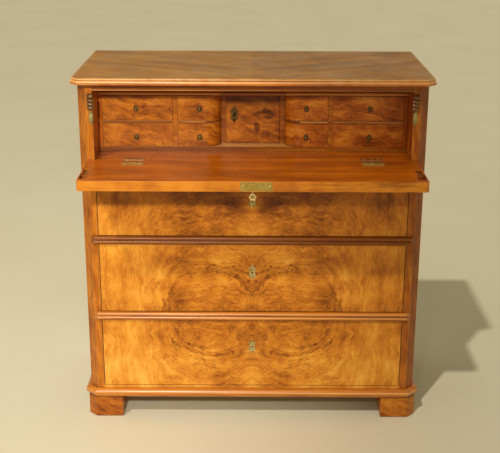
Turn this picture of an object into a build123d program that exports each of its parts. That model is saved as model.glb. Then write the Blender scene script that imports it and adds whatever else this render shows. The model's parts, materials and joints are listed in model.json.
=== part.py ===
from build123d import *
from math import cos, radians, sin
import os

os.makedirs("parts", exist_ok=True)

# A secretaire chest: three long drawers under a fall flap that opens level with a writing floor,
# and behind the flap a gallery of small drawers about a recessed door.
# Lengths are in millimetres. X runs to the right, Y to the back and Z up from the ground.

# Heights of what stands on each other, from the ground up
foot_height = 72.0
bottom_rise = 20.0
bottom_thickness = 20.0
drawer_3_height = 237.0
rail_2_height = 28.0
drawer_2_height = 233.0
rail_1_height = 26.0
drawer_1_height = 212.0
bearer_thickness = 16.0
writing_floor_thickness = 20.0
flap_reach = 234.0
flap_top_gap = 6.0
top_thickness = 22.0
plinth_height = 30.0
frieze_height = 24.0

# Plan of the carcase
carcase_half = 537.0
post_width = 47.0
post_depth = 47.0
post_cant = 25.0
side_thickness = 22.0
carcase_depth = 495.0
back_thickness = 12.0
rail_depth = 80.0
frieze_thickness = 22.0

# Top board
top_side_overhang = 14.0
top_front_overhang = 45.0
top_cant = 24.0
top_bead_thickness = 7.0
top_bead_inset = 3.0
top_round = 7.0
top_bead_round = 2.8

# Fall flap
flap_thickness = 32.0
flap_side_inset = 1.0
flap_corner_round = 8.0
flap_edge_round = 1.5
flap_seam = 0.4

# Bolt of the flap lock
bolt_x = (14.0, 34.0)
bolt_thickness = 8.0
bolt_throw = 12.0
bolt_gap = 0.6
mortise_depth = 10.0

# Clearances
running_gap = 1.5
seat_gap = 0.3
joint_gap = 0.2
pin_gap = 0.05
overrun = 1.0

# Places that follow from the sizes above
front_y = (flap_reach - carcase_depth) / 2
back_y = front_y + carcase_depth
inner_back_y = back_y - back_thickness
side_inner = carcase_half - side_thickness
opening_half = carcase_half - post_width
post_face_half = carcase_half - post_cant
top_half = carcase_half + top_side_overhang
flap_half = post_face_half - flap_side_inset
bottom_underside = foot_height + bottom_rise
drawer_3_bottom = bottom_underside + bottom_thickness
drawer_3_top = drawer_3_bottom + drawer_3_height
drawer_2_bottom = drawer_3_top + rail_2_height
drawer_2_top = drawer_2_bottom + drawer_2_height
drawer_1_bottom = drawer_2_top + rail_1_height
drawer_1_top = drawer_1_bottom + drawer_1_height
floor_underside = drawer_1_top + bearer_thickness
writing_height = floor_underside + writing_floor_thickness
top_underside = writing_height + flap_reach + flap_top_gap
chest_height = top_underside + top_thickness


def span(x, y, z, mode=Mode.ADD):
    """A box between two planes on each axis, in the part or sketch that is being built."""
    with Locations(((x[0] + x[1]) / 2, (y[0] + y[1]) / 2, (z[0] + z[1]) / 2)):
        Box(x[1] - x[0], y[1] - y[0], z[1] - z[0], mode=mode)


def both_sides(x, y, z, mode=Mode.ADD):
    """The same box on the right and on the left."""
    span(x, y, z, mode)
    span((-x[1], -x[0]), y, z, mode)


def canted_front(half, front, back, cant):
    """The corners of a plan whose two front corners are cut off."""
    return [
        (-half, back),
        (-half, front + cant),
        (-half + cant, front),
        (half - cant, front),
        (half, front + cant),
        (half, back),
    ]


# Top board, in two layers with a quirk between a small bead and a large half round
top_front = front_y - top_front_overhang
bead_bottom = chest_height - top_bead_thickness
with BuildPart() as top_board:
    with BuildSketch(Plane.XY.offset(top_underside)):
        Polygon(*canted_front(top_half, top_front, back_y, top_cant), align=None)
    extrude(amount=bead_bottom - top_underside)
    moulded = top_board.edges().filter_by(lambda e: e.center().Y < back_y - overrun)
    fillet(moulded.filter_by(Axis.Z, reverse=True), radius=top_round)
    bead_outline = canted_front(
        top_half - top_bead_inset, top_front + top_bead_inset, back_y, top_cant
    )
    with BuildSketch(Plane.XY.offset(bead_bottom)):
        Polygon(*bead_outline, align=None)
    extrude(amount=top_bead_thickness)
    upper = top_board.edges().filter_by(Axis.Z, reverse=True).group_by(Axis.Z)[-1]
    fillet(upper.filter_by(lambda e: e.center().Y < back_y - overrun), radius=top_bead_round)
    # Mortise in the underside for the bolt of the flap lock
    bolt_back = front_y - flap_seam - flap_thickness / 2 + bolt_thickness / 2 + bolt_gap
    span(
        (bolt_x[0] - bolt_gap, bolt_x[1] + bolt_gap),
        (bolt_back - bolt_thickness - 2 * bolt_gap, bolt_back),
        (top_underside - overrun, top_underside + mortise_depth),
        Mode.SUBTRACT,
    )
top_board.part.label = "top_board"
export_step(top_board.part, "parts/top_board.step")

# Sides, and the corner posts whose outer front corner is canted
for side_name, side_sign in (("left", -1), ("right", 1)):
    with BuildPart() as side:
        x_faces = sorted((side_sign * side_inner, side_sign * carcase_half))
        span(x_faces, (front_y + post_depth, back_y), (foot_height, top_underside))
    side.part.label = f"side_{side_name}"
    export_step(side.part, f"parts/side_{side_name}.step")

    with BuildPart() as post:
        with BuildSketch(Plane.XY.offset(foot_height)):
            Polygon(
                (side_sign * opening_half, front_y),
                (side_sign * post_face_half, front_y),
                (side_sign * carcase_half, front_y + post_cant),
                (side_sign * carcase_half, front_y + post_depth),
                (side_sign * opening_half, front_y + post_depth),
                align=None,
            )
        extrude(amount=top_underside - foot_height)
    post.part.label = f"post_{side_name}"
    export_step(post.part, f"parts/post_{side_name}.step")

# Frieze under the top, with a bead along its lower edge
frieze_underside = top_underside - frieze_height
frieze_bead_round = 3.0
with BuildPart() as frieze_rail:
    span(
        (-opening_half, opening_half),
        (front_y, front_y + frieze_thickness),
        (frieze_underside, top_underside),
    )
    lower_edges = frieze_rail.edges().filter_by(Axis.X).group_by(Axis.Z)[0]
    fillet(lower_edges.sort_by(Axis.Y)[0], radius=frieze_bead_round)
frieze_rail.part.label = "frieze_rail"
export_step(frieze_rail.part, "parts/frieze_rail.step")

# Back panel
with BuildPart() as back_panel:
    span(
        (-side_inner, side_inner), (inner_back_y, back_y), (foot_height, top_underside)
    )
back_panel.part.label = "back_panel"
export_step(back_panel.part, "parts/back_panel.step")

# Fall hinges: their line is the front edge of the writing floor's top face
hinge_inset = 122.0
hinge_half = 33.0
hinge_centre_half = 12.0
hinge_leaf_thickness = 2.5
hinge_fixed_leaf = 30.0
hinge_moving_leaf = 58.0
knuckle_radius = 3.2
hinge_pin_radius = 1.5
hinge_x = opening_half - hinge_inset
hinge_y = front_y - flap_seam
hinge_z = writing_height


def hinge_line(length, radius, centre, mode=Mode.ADD):
    """A round bar along the hinge line."""
    with Locations((centre, hinge_y, hinge_z)):
        Cylinder(radius, length, rotation=(0, 90, 0), mode=mode)


# Writing floor, let in for the fixed leaves and the knuckles
with BuildPart() as writing_floor:
    floor_z = (floor_underside, writing_height)
    span((-opening_half, opening_half), (front_y, front_y + post_depth), floor_z)
    span((-side_inner, side_inner), (front_y + post_depth, inner_back_y), floor_z)
    for centre in (-hinge_x, hinge_x):
        span(
            (centre - hinge_half - joint_gap, centre + hinge_half + joint_gap),
            (front_y - overrun, front_y + hinge_fixed_leaf + joint_gap),
            (writing_height - hinge_leaf_thickness - joint_gap, writing_height + overrun),
            Mode.SUBTRACT,
        )
        hinge_line(
            2 * (hinge_half + joint_gap), knuckle_radius + seat_gap, centre, Mode.SUBTRACT
        )
writing_floor.part.label = "writing_floor"
export_step(writing_floor.part, "parts/writing_floor.step")

# Rails between the posts: the bearer under the writing floor and the two drawer rails
rail_spans = (
    (drawer_1_top, floor_underside),
    (drawer_2_top, drawer_1_bottom),
    (drawer_3_top, drawer_2_bottom),
)
with BuildPart() as drawer_rails:
    for rail_z in rail_spans:
        span((-opening_half, opening_half), (front_y, front_y + rail_depth), rail_z)
drawer_rails.part.label = "drawer_rails"
export_step(drawer_rails.part, "parts/drawer_rails.step")

# Mouldings of two beads on the rails, returned at their ends across the posts
moulding_projection = 11.0
moulding_fillet = 4.0
bead_radius_share = 0.27
with BuildPart() as rail_mouldings:
    for rail_z in rail_spans[1:]:
        bead_radius = bead_radius_share * (rail_z[1] - rail_z[0])
        with BuildSketch(Plane.YZ.offset(-post_face_half)) as bead_profile:
            with Locations(((front_y - moulding_fillet / 2), (rail_z[0] + rail_z[1]) / 2)):
                Rectangle(moulding_fillet, rail_z[1] - rail_z[0])
            for bead_z in (rail_z[0] + bead_radius, rail_z[1] - bead_radius):
                with Locations((front_y - moulding_projection + bead_radius, bead_z)):
                    Circle(bead_radius)
            with Locations((front_y + moulding_projection, (rail_z[0] + rail_z[1]) / 2)):
                Rectangle(
                    2 * moulding_projection, 2 * (rail_z[1] - rail_z[0]), mode=Mode.SUBTRACT
                )
        extrude(amount=2 * post_face_half)
    for end in (-1, 1):
        with BuildSketch(Plane.XY.offset(drawer_3_bottom)):
            Polygon(
                (end * post_face_half, front_y),
                (end * (post_face_half - moulding_projection), front_y - moulding_projection),
                (end * post_face_half, front_y - moulding_projection - overrun),
                (end * (post_face_half + overrun), front_y),
                align=None,
            )
        extrude(amount=writing_height - drawer_3_bottom, mode=Mode.SUBTRACT)
rail_mouldings.part.label = "rail_mouldings"
export_step(rail_mouldings.part, "parts/rail_mouldings.step")

# Bottom board, whose front edge shows under the lowest drawer
with BuildPart() as bottom_board:
    board_z = (bottom_underside, drawer_3_bottom)
    span((-opening_half, opening_half), (front_y, front_y + post_depth), board_z)
    span((-side_inner, side_inner), (front_y + post_depth, inner_back_y), board_z)
bottom_board.part.label = "bottom_board"
export_step(bottom_board.part, "parts/bottom_board.step")

# Plinth moulding: half-round strips, mitred at the cut corners, about the front and sides
plinth_projection = 17.0
carcase_plan = canted_front(carcase_half, front_y, back_y, post_cant)
plinth_middle = foot_height + plinth_height / 2
with BuildPart() as plinth_moulding:
    with BuildLine() as plinth_path:
        Polyline(*[(x, y, plinth_middle) for x, y in carcase_plan])
    start_x, start_y = carcase_plan[0]
    start = Plane(origin=(start_x, start_y, plinth_middle), x_dir=(-1, 0, 0), z_dir=(0, -1, 0))
    with BuildSketch(start):
        nose = plinth_height / 2
        with Locations((plinth_projection - nose, 0)):
            Circle(nose)
        with Locations(((plinth_projection - nose) / 2, 0)):
            Rectangle(plinth_projection - nose, plinth_height)
        with Locations((-nose, 0)):
            Rectangle(2 * nose, plinth_height, mode=Mode.SUBTRACT)
    sweep(path=plinth_path.line, transition=Transition.RIGHT)
    for index, (x, y) in enumerate(carcase_plan[1:-1]):
        side_sign = -1 if x < 0 else 1
        outwards = radians(22.5 if index in (0, 3) else 67.5)
        reach = 2 * plinth_projection
        with BuildSketch(Plane.XY.offset(foot_height)):
            with BuildLine():
                Line(
                    (x - side_sign * reach * cos(outwards), y + reach * sin(outwards)),
                    (x + side_sign * reach * cos(outwards), y - reach * sin(outwards)),
                )
            trace(line_width=joint_gap)
        extrude(amount=plinth_height, mode=Mode.SUBTRACT)
plinth_moulding.part.label = "plinth_moulding"
export_step(plinth_moulding.part, "parts/plinth_moulding.step")

# Block feet; the front pair repeat the cut corners
foot_width = 115.0
foot_setback = 8.0
foot_inset = 8.0
foot_chamfer = 2.0
foot_half = carcase_half + foot_inset
foot_front = front_y - foot_setback
with BuildPart() as feet:
    for side_sign in (-1, 1):
        with BuildSketch():
            Polygon(
                (side_sign * (foot_half - foot_width), foot_front),
                (side_sign * (foot_half - post_cant), foot_front),
                (side_sign * foot_half, foot_front + post_cant),
                (side_sign * foot_half, foot_front + foot_width),
                (side_sign * (foot_half - foot_width), foot_front + foot_width),
                align=None,
            )
        extrude(amount=foot_height)
    both_sides((foot_half - foot_width, foot_half), (back_y - foot_width, back_y), (0, foot_height))
    chamfer(feet.edges().filter_by(Axis.Z, reverse=True).group_by(Axis.Z)[0], length=foot_chamfer)
feet.part.label = "feet"
export_step(feet.part, "parts/feet.step")

# Runners with their guides for the two upper drawers, and guides alone for the lowest
drawer_half = opening_half - running_gap
runner_width = 48.0
runner_thickness = 18.0
guide_height = 26.0
runner_y = (front_y + rail_depth + joint_gap, inner_back_y - joint_gap)
with BuildPart() as drawer_runners:
    for runner_top in (drawer_1_bottom, drawer_2_bottom):
        both_sides(
            (side_inner - runner_width, side_inner),
            runner_y,
            (runner_top - runner_thickness, runner_top),
        )
        both_sides((opening_half, side_inner), runner_y, (runner_top, runner_top + guide_height))
    both_sides(
        (opening_half, side_inner), runner_y, (drawer_3_bottom, drawer_3_bottom + guide_height)
    )
drawer_runners.part.label = "drawer_runners"
export_step(drawer_runners.part, "parts/drawer_runners.step")

# Linings that bring the sides of the writing compartment flush with the posts
with BuildPart() as compartment_linings:
    both_sides(
        (opening_half, side_inner),
        (front_y + post_depth, inner_back_y),
        (writing_height, top_underside),
    )
compartment_linings.part.label = "compartment_linings"
export_step(compartment_linings.part, "parts/compartment_linings.step")

# Corbels on the post faces: a reeded scroll above a leaf drop
corbel_overlap = 4.0
corbel_width = 18.5
corbel_drop = 8.0
corbel_plate = 4.0
scroll_radius = 8.0
reed_radius = 5.4
reed_pitch = 11.6
reed_count = 3
drop_width = 15.0
drop_height = 48.0
drop_depth = 6.0
drop_taper = 24.0
corbel_x = (opening_half - corbel_overlap, opening_half - corbel_overlap + corbel_width)
corbel_top = frieze_underside - corbel_drop
first_reed = corbel_top - 2 * scroll_radius - reed_radius
scroll_bottom = first_reed - (reed_count - 1) * reed_pitch - reed_radius
drop_top = scroll_bottom - seat_gap
corbel_centre = (corbel_x[0] + corbel_x[1]) / 2
with BuildPart() as corbel_scrolls:
    for x_start in (corbel_x[0], -corbel_x[1]):
        with BuildSketch(Plane.YZ.offset(x_start)):
            with Locations((front_y - corbel_plate / 2, (corbel_top + scroll_bottom) / 2)):
                Rectangle(corbel_plate, corbel_top - scroll_bottom)
            with Locations((front_y - corbel_plate, corbel_top - scroll_radius)):
                Circle(scroll_radius)
            for reed in range(reed_count):
                with Locations((front_y - corbel_plate, first_reed - reed * reed_pitch)):
                    Circle(reed_radius)
            with Locations((front_y + scroll_radius, (corbel_top + scroll_bottom) / 2)):
                Rectangle(
                    2 * scroll_radius, 2 * (corbel_top - scroll_bottom), mode=Mode.SUBTRACT
                )
        extrude(amount=corbel_x[1] - corbel_x[0])
corbel_scrolls.part.label = "corbel_scrolls"
export_step(corbel_scrolls.part, "parts/corbel_scrolls.step")

with BuildPart() as corbel_drops:
    for side_sign in (-1, 1):
        drop_x = side_sign * corbel_centre
        with BuildSketch(Plane.XZ.offset(-front_y)):
            with BuildLine():
                tip = (drop_x, drop_top - drop_height)
                root = (drop_x, drop_top)
                ThreePointArc(tip, (drop_x - drop_width / 2, drop_top - drop_height / 2), root)
                ThreePointArc(root, (drop_x + drop_width / 2, drop_top - drop_height / 2), tip)
            make_face()
        extrude(amount=drop_depth, taper=drop_taper)
corbel_drops.part.label = "corbel_drops"
export_step(corbel_drops.part, "parts/corbel_drops.step")


# Escutcheons: a pierced plate with a keyhole, drawn about its own centre
plate_half_width = 8.5
plate_half_height = 16.0
plate_thickness = 1.6
lobe_radius = 5.2
lobe_x = 7.6
lobe_z = 11.0
crown_radius = 4.6
crown_z = 18.5
finial_radius = 2.6
finial_z = 25.0
piercing_radius = 1.7
keyhole_radius = 2.6
keyhole_slot = 2.2
keyhole_drop = 8.0


def keyhole(mode):
    """A round eye over a slot, in the sketch that is being built."""
    Circle(keyhole_radius, mode=mode)
    with Locations((0, -keyhole_drop / 2)):
        Rectangle(keyhole_slot, keyhole_drop, mode=mode)


def escutcheon(face):
    """The plate, lying on the given plane with its front along the plane's normal."""
    with BuildPart() as plate:
        with BuildSketch(face):
            Ellipse(plate_half_width, plate_half_height)
            with GridLocations(2 * lobe_x, 2 * lobe_z, 2, 2):
                Circle(lobe_radius)
            with Locations((0, crown_z), (0, -crown_z)):
                Circle(crown_radius)
            with Locations((0, finial_z), (0, -finial_z)):
                Circle(finial_radius)
            with GridLocations(2 * lobe_x, 2 * lobe_z, 2, 2):
                Circle(piercing_radius, mode=Mode.SUBTRACT)
            with Locations((0, crown_z), (0, -crown_z)):
                Circle(piercing_radius, mode=Mode.SUBTRACT)
            keyhole(Mode.SUBTRACT)
        extrude(amount=plate_thickness)
    return plate.part


def front_face(x, y, z):
    """A plane on a surface that faces the front."""
    return Plane(origin=(x, y, z), x_dir=(1, 0, 0), z_dir=(0, -1, 0))


# Long drawers: a front, a box of sides, back and bottom, and a lock with its escutcheon
front_thickness = 22.0
front_bevel = 2.0
board_thickness = 12.0
back_board_drop = 14.0
drawer_bottom_thickness = 7.0
drawer_back_gap = 13.0
lock_width = 58.0
lock_height = 40.0
lock_thickness = 10.0
lock_drop = 3.0
long_drawers = (
    ("drawer_1", drawer_1_bottom, drawer_1_top),
    ("drawer_2", drawer_2_bottom, drawer_2_top),
    ("drawer_3", drawer_3_bottom, drawer_3_top),
)
escutcheon_rise_shares = {"drawer_1": 0.56, "drawer_2": 0.59, "drawer_3": 0.60}
for drawer_name, opening_bottom, opening_top in long_drawers:
    low = opening_bottom + seat_gap
    high = opening_top - running_gap
    keyhole_z = opening_bottom + escutcheon_rise_shares[drawer_name] * (opening_top - opening_bottom)
    with BuildPart() as drawer_front:
        span((-drawer_half, drawer_half), (front_y, front_y + front_thickness), (low, high))
        face_edges = drawer_front.faces().sort_by(Axis.Y)[0].edges()
        chamfer(face_edges, length=front_bevel)
        with BuildSketch(front_face(0, front_y, keyhole_z)):
            keyhole(Mode.ADD)
        extrude(amount=-front_thickness, mode=Mode.SUBTRACT)
    drawer_front.part.label = f"{drawer_name}_front"
    export_step(drawer_front.part, f"parts/{drawer_name}_front.step")

    box_front = front_y + front_thickness + joint_gap
    box_back = inner_back_y - drawer_back_gap
    side_x = (drawer_half - board_thickness, drawer_half)
    with BuildPart() as drawer_box:
        both_sides(side_x, (box_front, box_back), (low, high - front_bevel))
        inner_half = side_x[0] - joint_gap
        bottom_top = low + drawer_bottom_thickness
        span((-inner_half, inner_half), (box_front, box_back), (low, bottom_top))
        span(
            (-inner_half, inner_half),
            (box_back - board_thickness, box_back),
            (bottom_top + joint_gap, high - back_board_drop),
        )
    drawer_box.part.label = f"{drawer_name}_box"
    export_step(drawer_box.part, f"parts/{drawer_name}_box.step")

    plate = escutcheon(front_face(0, front_y, keyhole_z))
    with BuildPart() as drawer_lock:
        add(plate)
        span(
            (-lock_width / 2, lock_width / 2),
            (box_front, box_front + lock_thickness),
            (keyhole_z - lock_height / 2, keyhole_z + lock_height / 2),
        )
    drawer_lock.part.label = f"{drawer_name}_lock"
    export_step(drawer_lock.part, f"parts/{drawer_name}_lock.step")

# Flap: pockets for the corbels, a mortise for the lock and gains for the hinges
flap_y = (front_y - flap_reach, hinge_y)
flap_z = (writing_height - flap_thickness, writing_height)
pocket_gap = 3.0
pocket_depth = scroll_radius + corbel_plate + pocket_gap
pocket_top = corbel_top + 2 * pocket_gap - writing_height
pocket_step = scroll_bottom - 2 * pocket_gap - writing_height
pocket_bottom = drop_top - drop_height - 2 * pocket_gap - writing_height
drop_pocket_half = drop_width / 2 + pocket_gap / 2
drop_pocket_depth = drop_depth + pocket_gap / 2
lock_case_x = (-30.0, 50.0)
lock_case_depth = 46.0
lock_backset = 32.0
lock_case_height = 16.0
lock_wall = 1.6
selvedge_x = (-36.0, 57.0)
selvedge_height = 27.0
selvedge_thickness = 2.0
key_y = flap_y[0] + lock_backset
flap_middle = (flap_z[0] + flap_z[1]) / 2
case_z = (flap_middle - lock_case_height / 2, flap_middle + lock_case_height / 2)
selvedge_z = (flap_middle - selvedge_height / 2, flap_middle + selvedge_height / 2)
case_back = flap_y[0] + lock_case_depth
under_flap = Plane(origin=(0, key_y, flap_z[0]), x_dir=(1, 0, 0), z_dir=(0, 0, -1))
with BuildPart() as flap_panel:
    span((-flap_half, flap_half), flap_y, flap_z)
    upright_edges = flap_panel.edges().filter_by(Axis.Z).group_by(Axis.Y)[0]
    fillet(upright_edges, radius=flap_corner_round)
    fillet(flap_panel.edges().group_by(Axis.Y)[0], radius=flap_edge_round)
    both_sides(
        (corbel_x[0] - pocket_gap, corbel_x[1] + pocket_gap),
        (hinge_y - pocket_top, hinge_y - pocket_step),
        (writing_height - pocket_depth, writing_height + overrun),
        Mode.SUBTRACT,
    )
    both_sides(
        (corbel_centre - drop_pocket_half, corbel_centre + drop_pocket_half),
        (hinge_y - pocket_step - overrun, hinge_y - pocket_bottom),
        (writing_height - drop_pocket_depth, writing_height + overrun),
        Mode.SUBTRACT,
    )
    span(
        (selvedge_x[0] - joint_gap, selvedge_x[1] + joint_gap),
        (flap_y[0] - overrun, flap_y[0] + selvedge_thickness),
        (selvedge_z[0] - joint_gap, selvedge_z[1] + joint_gap),
        Mode.SUBTRACT,
    )
    span(
        (lock_case_x[0] - joint_gap, lock_case_x[1] + joint_gap),
        (flap_y[0] - overrun, case_back + joint_gap),
        (case_z[0] - joint_gap, case_z[1] + joint_gap),
        Mode.SUBTRACT,
    )
    with BuildSketch(under_flap):
        Circle(keyhole_radius + joint_gap)
        with Locations((0, -keyhole_drop / 2)):
            Rectangle(keyhole_slot + joint_gap, keyhole_drop)
    extrude(amount=-(case_z[0] - flap_z[0]), mode=Mode.SUBTRACT)
    for centre in (-hinge_x, hinge_x):
        span(
            (centre - hinge_half - joint_gap, centre + hinge_half + joint_gap),
            (hinge_y - hinge_moving_leaf - joint_gap, hinge_y + overrun),
            (writing_height - hinge_leaf_thickness - joint_gap, writing_height + overrun),
            Mode.SUBTRACT,
        )
        hinge_line(
            2 * (hinge_half + joint_gap), knuckle_radius + seat_gap, centre, Mode.SUBTRACT
        )
flap_panel.part.label = "flap_panel"
export_step(flap_panel.part, "parts/flap_panel.step")

# Fall hinges: fixed leaves with their outer knuckles, moving leaves with the middle one, and pins
leaf_z = (writing_height - hinge_leaf_thickness, writing_height)
with BuildPart() as hinge_leaves_fixed:
    for centre in (-hinge_x, hinge_x):
        leaf_x = (centre - hinge_half, centre + hinge_half)
        span(leaf_x, (hinge_y, front_y + hinge_fixed_leaf), leaf_z)
        hinge_line(2 * hinge_half, knuckle_radius, centre)
        hinge_line(
            2 * (hinge_centre_half + seat_gap), knuckle_radius + seat_gap, centre, Mode.SUBTRACT
        )
        hinge_line(2 * hinge_half, hinge_pin_radius + pin_gap, centre, Mode.SUBTRACT)
hinge_leaves_fixed.part.label = "hinge_leaves_fixed"
export_step(hinge_leaves_fixed.part, "parts/hinge_leaves_fixed.step")

with BuildPart() as hinge_leaves_moving:
    outer_centre = (hinge_half + hinge_centre_half) / 2
    outer_length = hinge_half - hinge_centre_half + joint_gap
    for centre in (-hinge_x, hinge_x):
        leaf_x = (centre - hinge_half, centre + hinge_half)
        span(leaf_x, (hinge_y - hinge_moving_leaf, hinge_y), leaf_z)
        for side_sign in (-1, 1):
            hinge_line(
                outer_length,
                knuckle_radius + seat_gap,
                centre + side_sign * outer_centre,
                Mode.SUBTRACT,
            )
        hinge_line(2 * hinge_centre_half, knuckle_radius, centre)
        hinge_line(2 * hinge_half, hinge_pin_radius + pin_gap, centre, Mode.SUBTRACT)
hinge_leaves_moving.part.label = "hinge_leaves_moving"
export_step(hinge_leaves_moving.part, "parts/hinge_leaves_moving.step")

with BuildPart() as hinge_pins:
    for centre in (-hinge_x, hinge_x):
        hinge_line(2 * hinge_half, hinge_pin_radius, centre)
hinge_pins.part.label = "hinge_pins"
export_step(hinge_pins.part, "parts/hinge_pins.step")

# Flap lock: a hollow case with its selvedge let flush into the edge
bolt_z = (case_z[1] - lock_wall - joint_gap - bolt_thickness / 2, case_z[1] - lock_wall - joint_gap)
bolt_head_z = (flap_middle - bolt_thickness / 2, flap_middle + bolt_thickness / 2)
with BuildPart() as flap_lock_case:
    span(lock_case_x, (flap_y[0] + selvedge_thickness, case_back), case_z)
    span(
        (lock_case_x[0] + lock_wall, lock_case_x[1] - lock_wall),
        (flap_y[0] + selvedge_thickness, case_back - lock_wall),
        (case_z[0] + lock_wall, case_z[1] - lock_wall),
        Mode.SUBTRACT,
    )
    span(selvedge_x, (flap_y[0], flap_y[0] + selvedge_thickness), selvedge_z)
    span(
        (bolt_x[0] - joint_gap, bolt_x[1] + joint_gap),
        (flap_y[0] - overrun, flap_y[0] + selvedge_thickness),
        (bolt_head_z[0] - joint_gap, bolt_head_z[1] + joint_gap),
        Mode.SUBTRACT,
    )
    with Locations((0, key_y, case_z[0] + lock_wall / 2)):
        Cylinder(keyhole_radius, 2 * lock_wall, mode=Mode.SUBTRACT)
flap_lock_case.part.label = "flap_lock_case"
export_step(flap_lock_case.part, "parts/flap_lock_case.step")

flap_escutcheon = escutcheon(under_flap)
flap_escutcheon.label = "flap_escutcheon"
export_step(flap_escutcheon, "parts/flap_escutcheon.step")

# The bolt, withdrawn level with the selvedge, and the key that throws it
bolt_tail_x = (-10.0, 34.0)
bolt_tail_thickness = 4.0
bolt_tail_depth = 15.0
tail_top = case_z[1] - lock_wall - joint_gap
tail_front = flap_y[0] + selvedge_thickness + bolt_throw + seat_gap
with BuildPart() as flap_bolt:
    span(bolt_x, (flap_y[0] + joint_gap, tail_front + overrun), bolt_head_z)
    span(
        bolt_tail_x,
        (tail_front, tail_front + bolt_tail_depth),
        (tail_top - bolt_tail_thickness, tail_top),
    )
flap_bolt.part.label = "flap_bolt"
export_step(flap_bolt.part, "parts/flap_bolt.step")

bow_radius = 11.0
bow_eye_radius = 7.2
bow_thickness = 4.0
key_reach = 36.0
stem_radius = keyhole_radius - joint_gap
collar_radius = 4.0
collar_height = 3.0
bit_length = 8.0
bit_thickness = 2.0
bit_height = 5.0
bow_z = flap_z[0] - key_reach + bow_radius
bit_z = (case_z[0] + lock_wall + seat_gap, case_z[0] + lock_wall + seat_gap + bit_height)
with BuildPart() as flap_key:
    with BuildSketch(Plane.XZ.offset(-key_y - bow_thickness / 2)):
        with Locations((0, bow_z)):
            Circle(bow_radius)
            Circle(bow_eye_radius, mode=Mode.SUBTRACT)
    extrude(amount=bow_thickness)
    stem_z = (bow_z + bow_eye_radius + overrun, bit_z[1] + seat_gap)
    with Locations((0, key_y, (stem_z[0] + stem_z[1]) / 2)):
        Cylinder(stem_radius, stem_z[1] - stem_z[0])
    collar_top = flap_z[0] - plate_thickness - seat_gap
    with Locations((0, key_y, collar_top - collar_height / 2)):
        Cylinder(collar_radius, collar_height)
    span((-bit_thickness / 2, bit_thickness / 2), (key_y, key_y + bit_length), bit_z)
flap_key.part.label = "flap_key"
export_step(flap_key.part, "parts/flap_key.step")

# Gallery at the back of the writing compartment
gallery_setback = 118.0
recess_depth = 47.0
gallery_base_thickness = 15.0
lower_height = 75.0
shelf_thickness = 10.0
upper_height = 80.0
gallery_top_thickness = 10.0
cheek_thickness = 12.0
divider_thickness = 14.0
divider_share = 253.5 / 490
upright_thickness = 15.0
upright_share = 102 / 490
fascia_thickness = 10.0
fascia_setback = 12.0
gallery_y = front_y + gallery_setback
recess_y = gallery_y + recess_depth
gallery_back = inner_back_y - joint_gap
base_top = writing_height + gallery_base_thickness
lower_top = base_top + lower_height
upper_bottom = lower_top + shelf_thickness
gallery_underside = upper_bottom + upper_height
gallery_top_z = gallery_underside + gallery_top_thickness
cheek_x = (opening_half - seat_gap - cheek_thickness, opening_half - seat_gap)
divider_outer = divider_share * opening_half
divider_x = (divider_outer - divider_thickness, divider_outer)
upright_outer = upright_share * opening_half
upright_x = (upright_outer - upright_thickness, upright_outer)
pivot_radius = 1.5
pivot_inset = 3.0
pivot_length = 7.0
door_half = upright_x[0] - 2 * joint_gap - seat_gap
pivot_x = door_half - pivot_inset
pivot_y = recess_y + pivot_inset


def pivot_bore(z_start, z_end):
    """Takes the door's pivot hole out of the part that is being built."""
    with Locations((pivot_x, pivot_y, (z_start + z_end) / 2)):
        Cylinder(pivot_radius + pin_gap, z_end - z_start, mode=Mode.SUBTRACT)


with BuildPart() as gallery_base:
    span((-cheek_x[1], cheek_x[1]), (gallery_y, gallery_back), (writing_height, base_top))
    pivot_bore(base_top - pivot_length - seat_gap, base_top + overrun)
gallery_base.part.label = "gallery_base"
export_step(gallery_base.part, "parts/gallery_base.step")

gallery_bead_round = 3.0
with BuildPart() as gallery_top:
    span(
        (-cheek_x[1], cheek_x[1]),
        (gallery_y, gallery_back),
        (gallery_underside, gallery_top_z),
    )
    lip = gallery_top.edges().filter_by(Axis.X).group_by(Axis.Y)[0]
    fillet(lip, radius=gallery_bead_round)
    pivot_bore(gallery_underside - overrun, gallery_underside + pivot_length + seat_gap)
gallery_top.part.label = "gallery_top"
export_step(gallery_top.part, "parts/gallery_top.step")

with BuildPart() as gallery_fascia:
    fascia_y = gallery_y + fascia_setback
    span(
        (-cheek_x[1], cheek_x[1]),
        (fascia_y, fascia_y + fascia_thickness),
        (gallery_top_z, top_underside),
    )
gallery_fascia.part.label = "gallery_fascia"
export_step(gallery_fascia.part, "parts/gallery_fascia.step")

gallery_z = (base_top, gallery_underside)
with BuildPart() as gallery_cheeks:
    both_sides(cheek_x, (gallery_y, gallery_back), gallery_z)
gallery_cheeks.part.label = "gallery_cheeks"
export_step(gallery_cheeks.part, "parts/gallery_cheeks.step")

with BuildPart() as gallery_dividers:
    both_sides(divider_x, (gallery_y, gallery_back), gallery_z)
    both_sides(upright_x, (recess_y, gallery_back), gallery_z)
gallery_dividers.part.label = "gallery_dividers"
export_step(gallery_dividers.part, "parts/gallery_dividers.step")


def nosed_plan(side_sign, outer_x, inner_x, front, radius, back, mode=Mode.ADD):
    """A plan whose front turns back beside the recess in a quarter circle."""
    nose_x = inner_x + radius
    half_turn = radians(45)
    with BuildLine() as outline:
        Line((side_sign * outer_x, front), (side_sign * nose_x, front))
        ThreePointArc(
            (side_sign * nose_x, front),
            (
                side_sign * (nose_x - radius * sin(half_turn)),
                front + radius * (1 - cos(half_turn)),
            ),
            (side_sign * inner_x, front + radius),
        )
        Polyline(
            (side_sign * inner_x, front + radius),
            (side_sign * inner_x, back),
            (side_sign * outer_x, back),
            (side_sign * outer_x, front),
        )
    make_face(outline.edges(), mode=mode)


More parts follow.
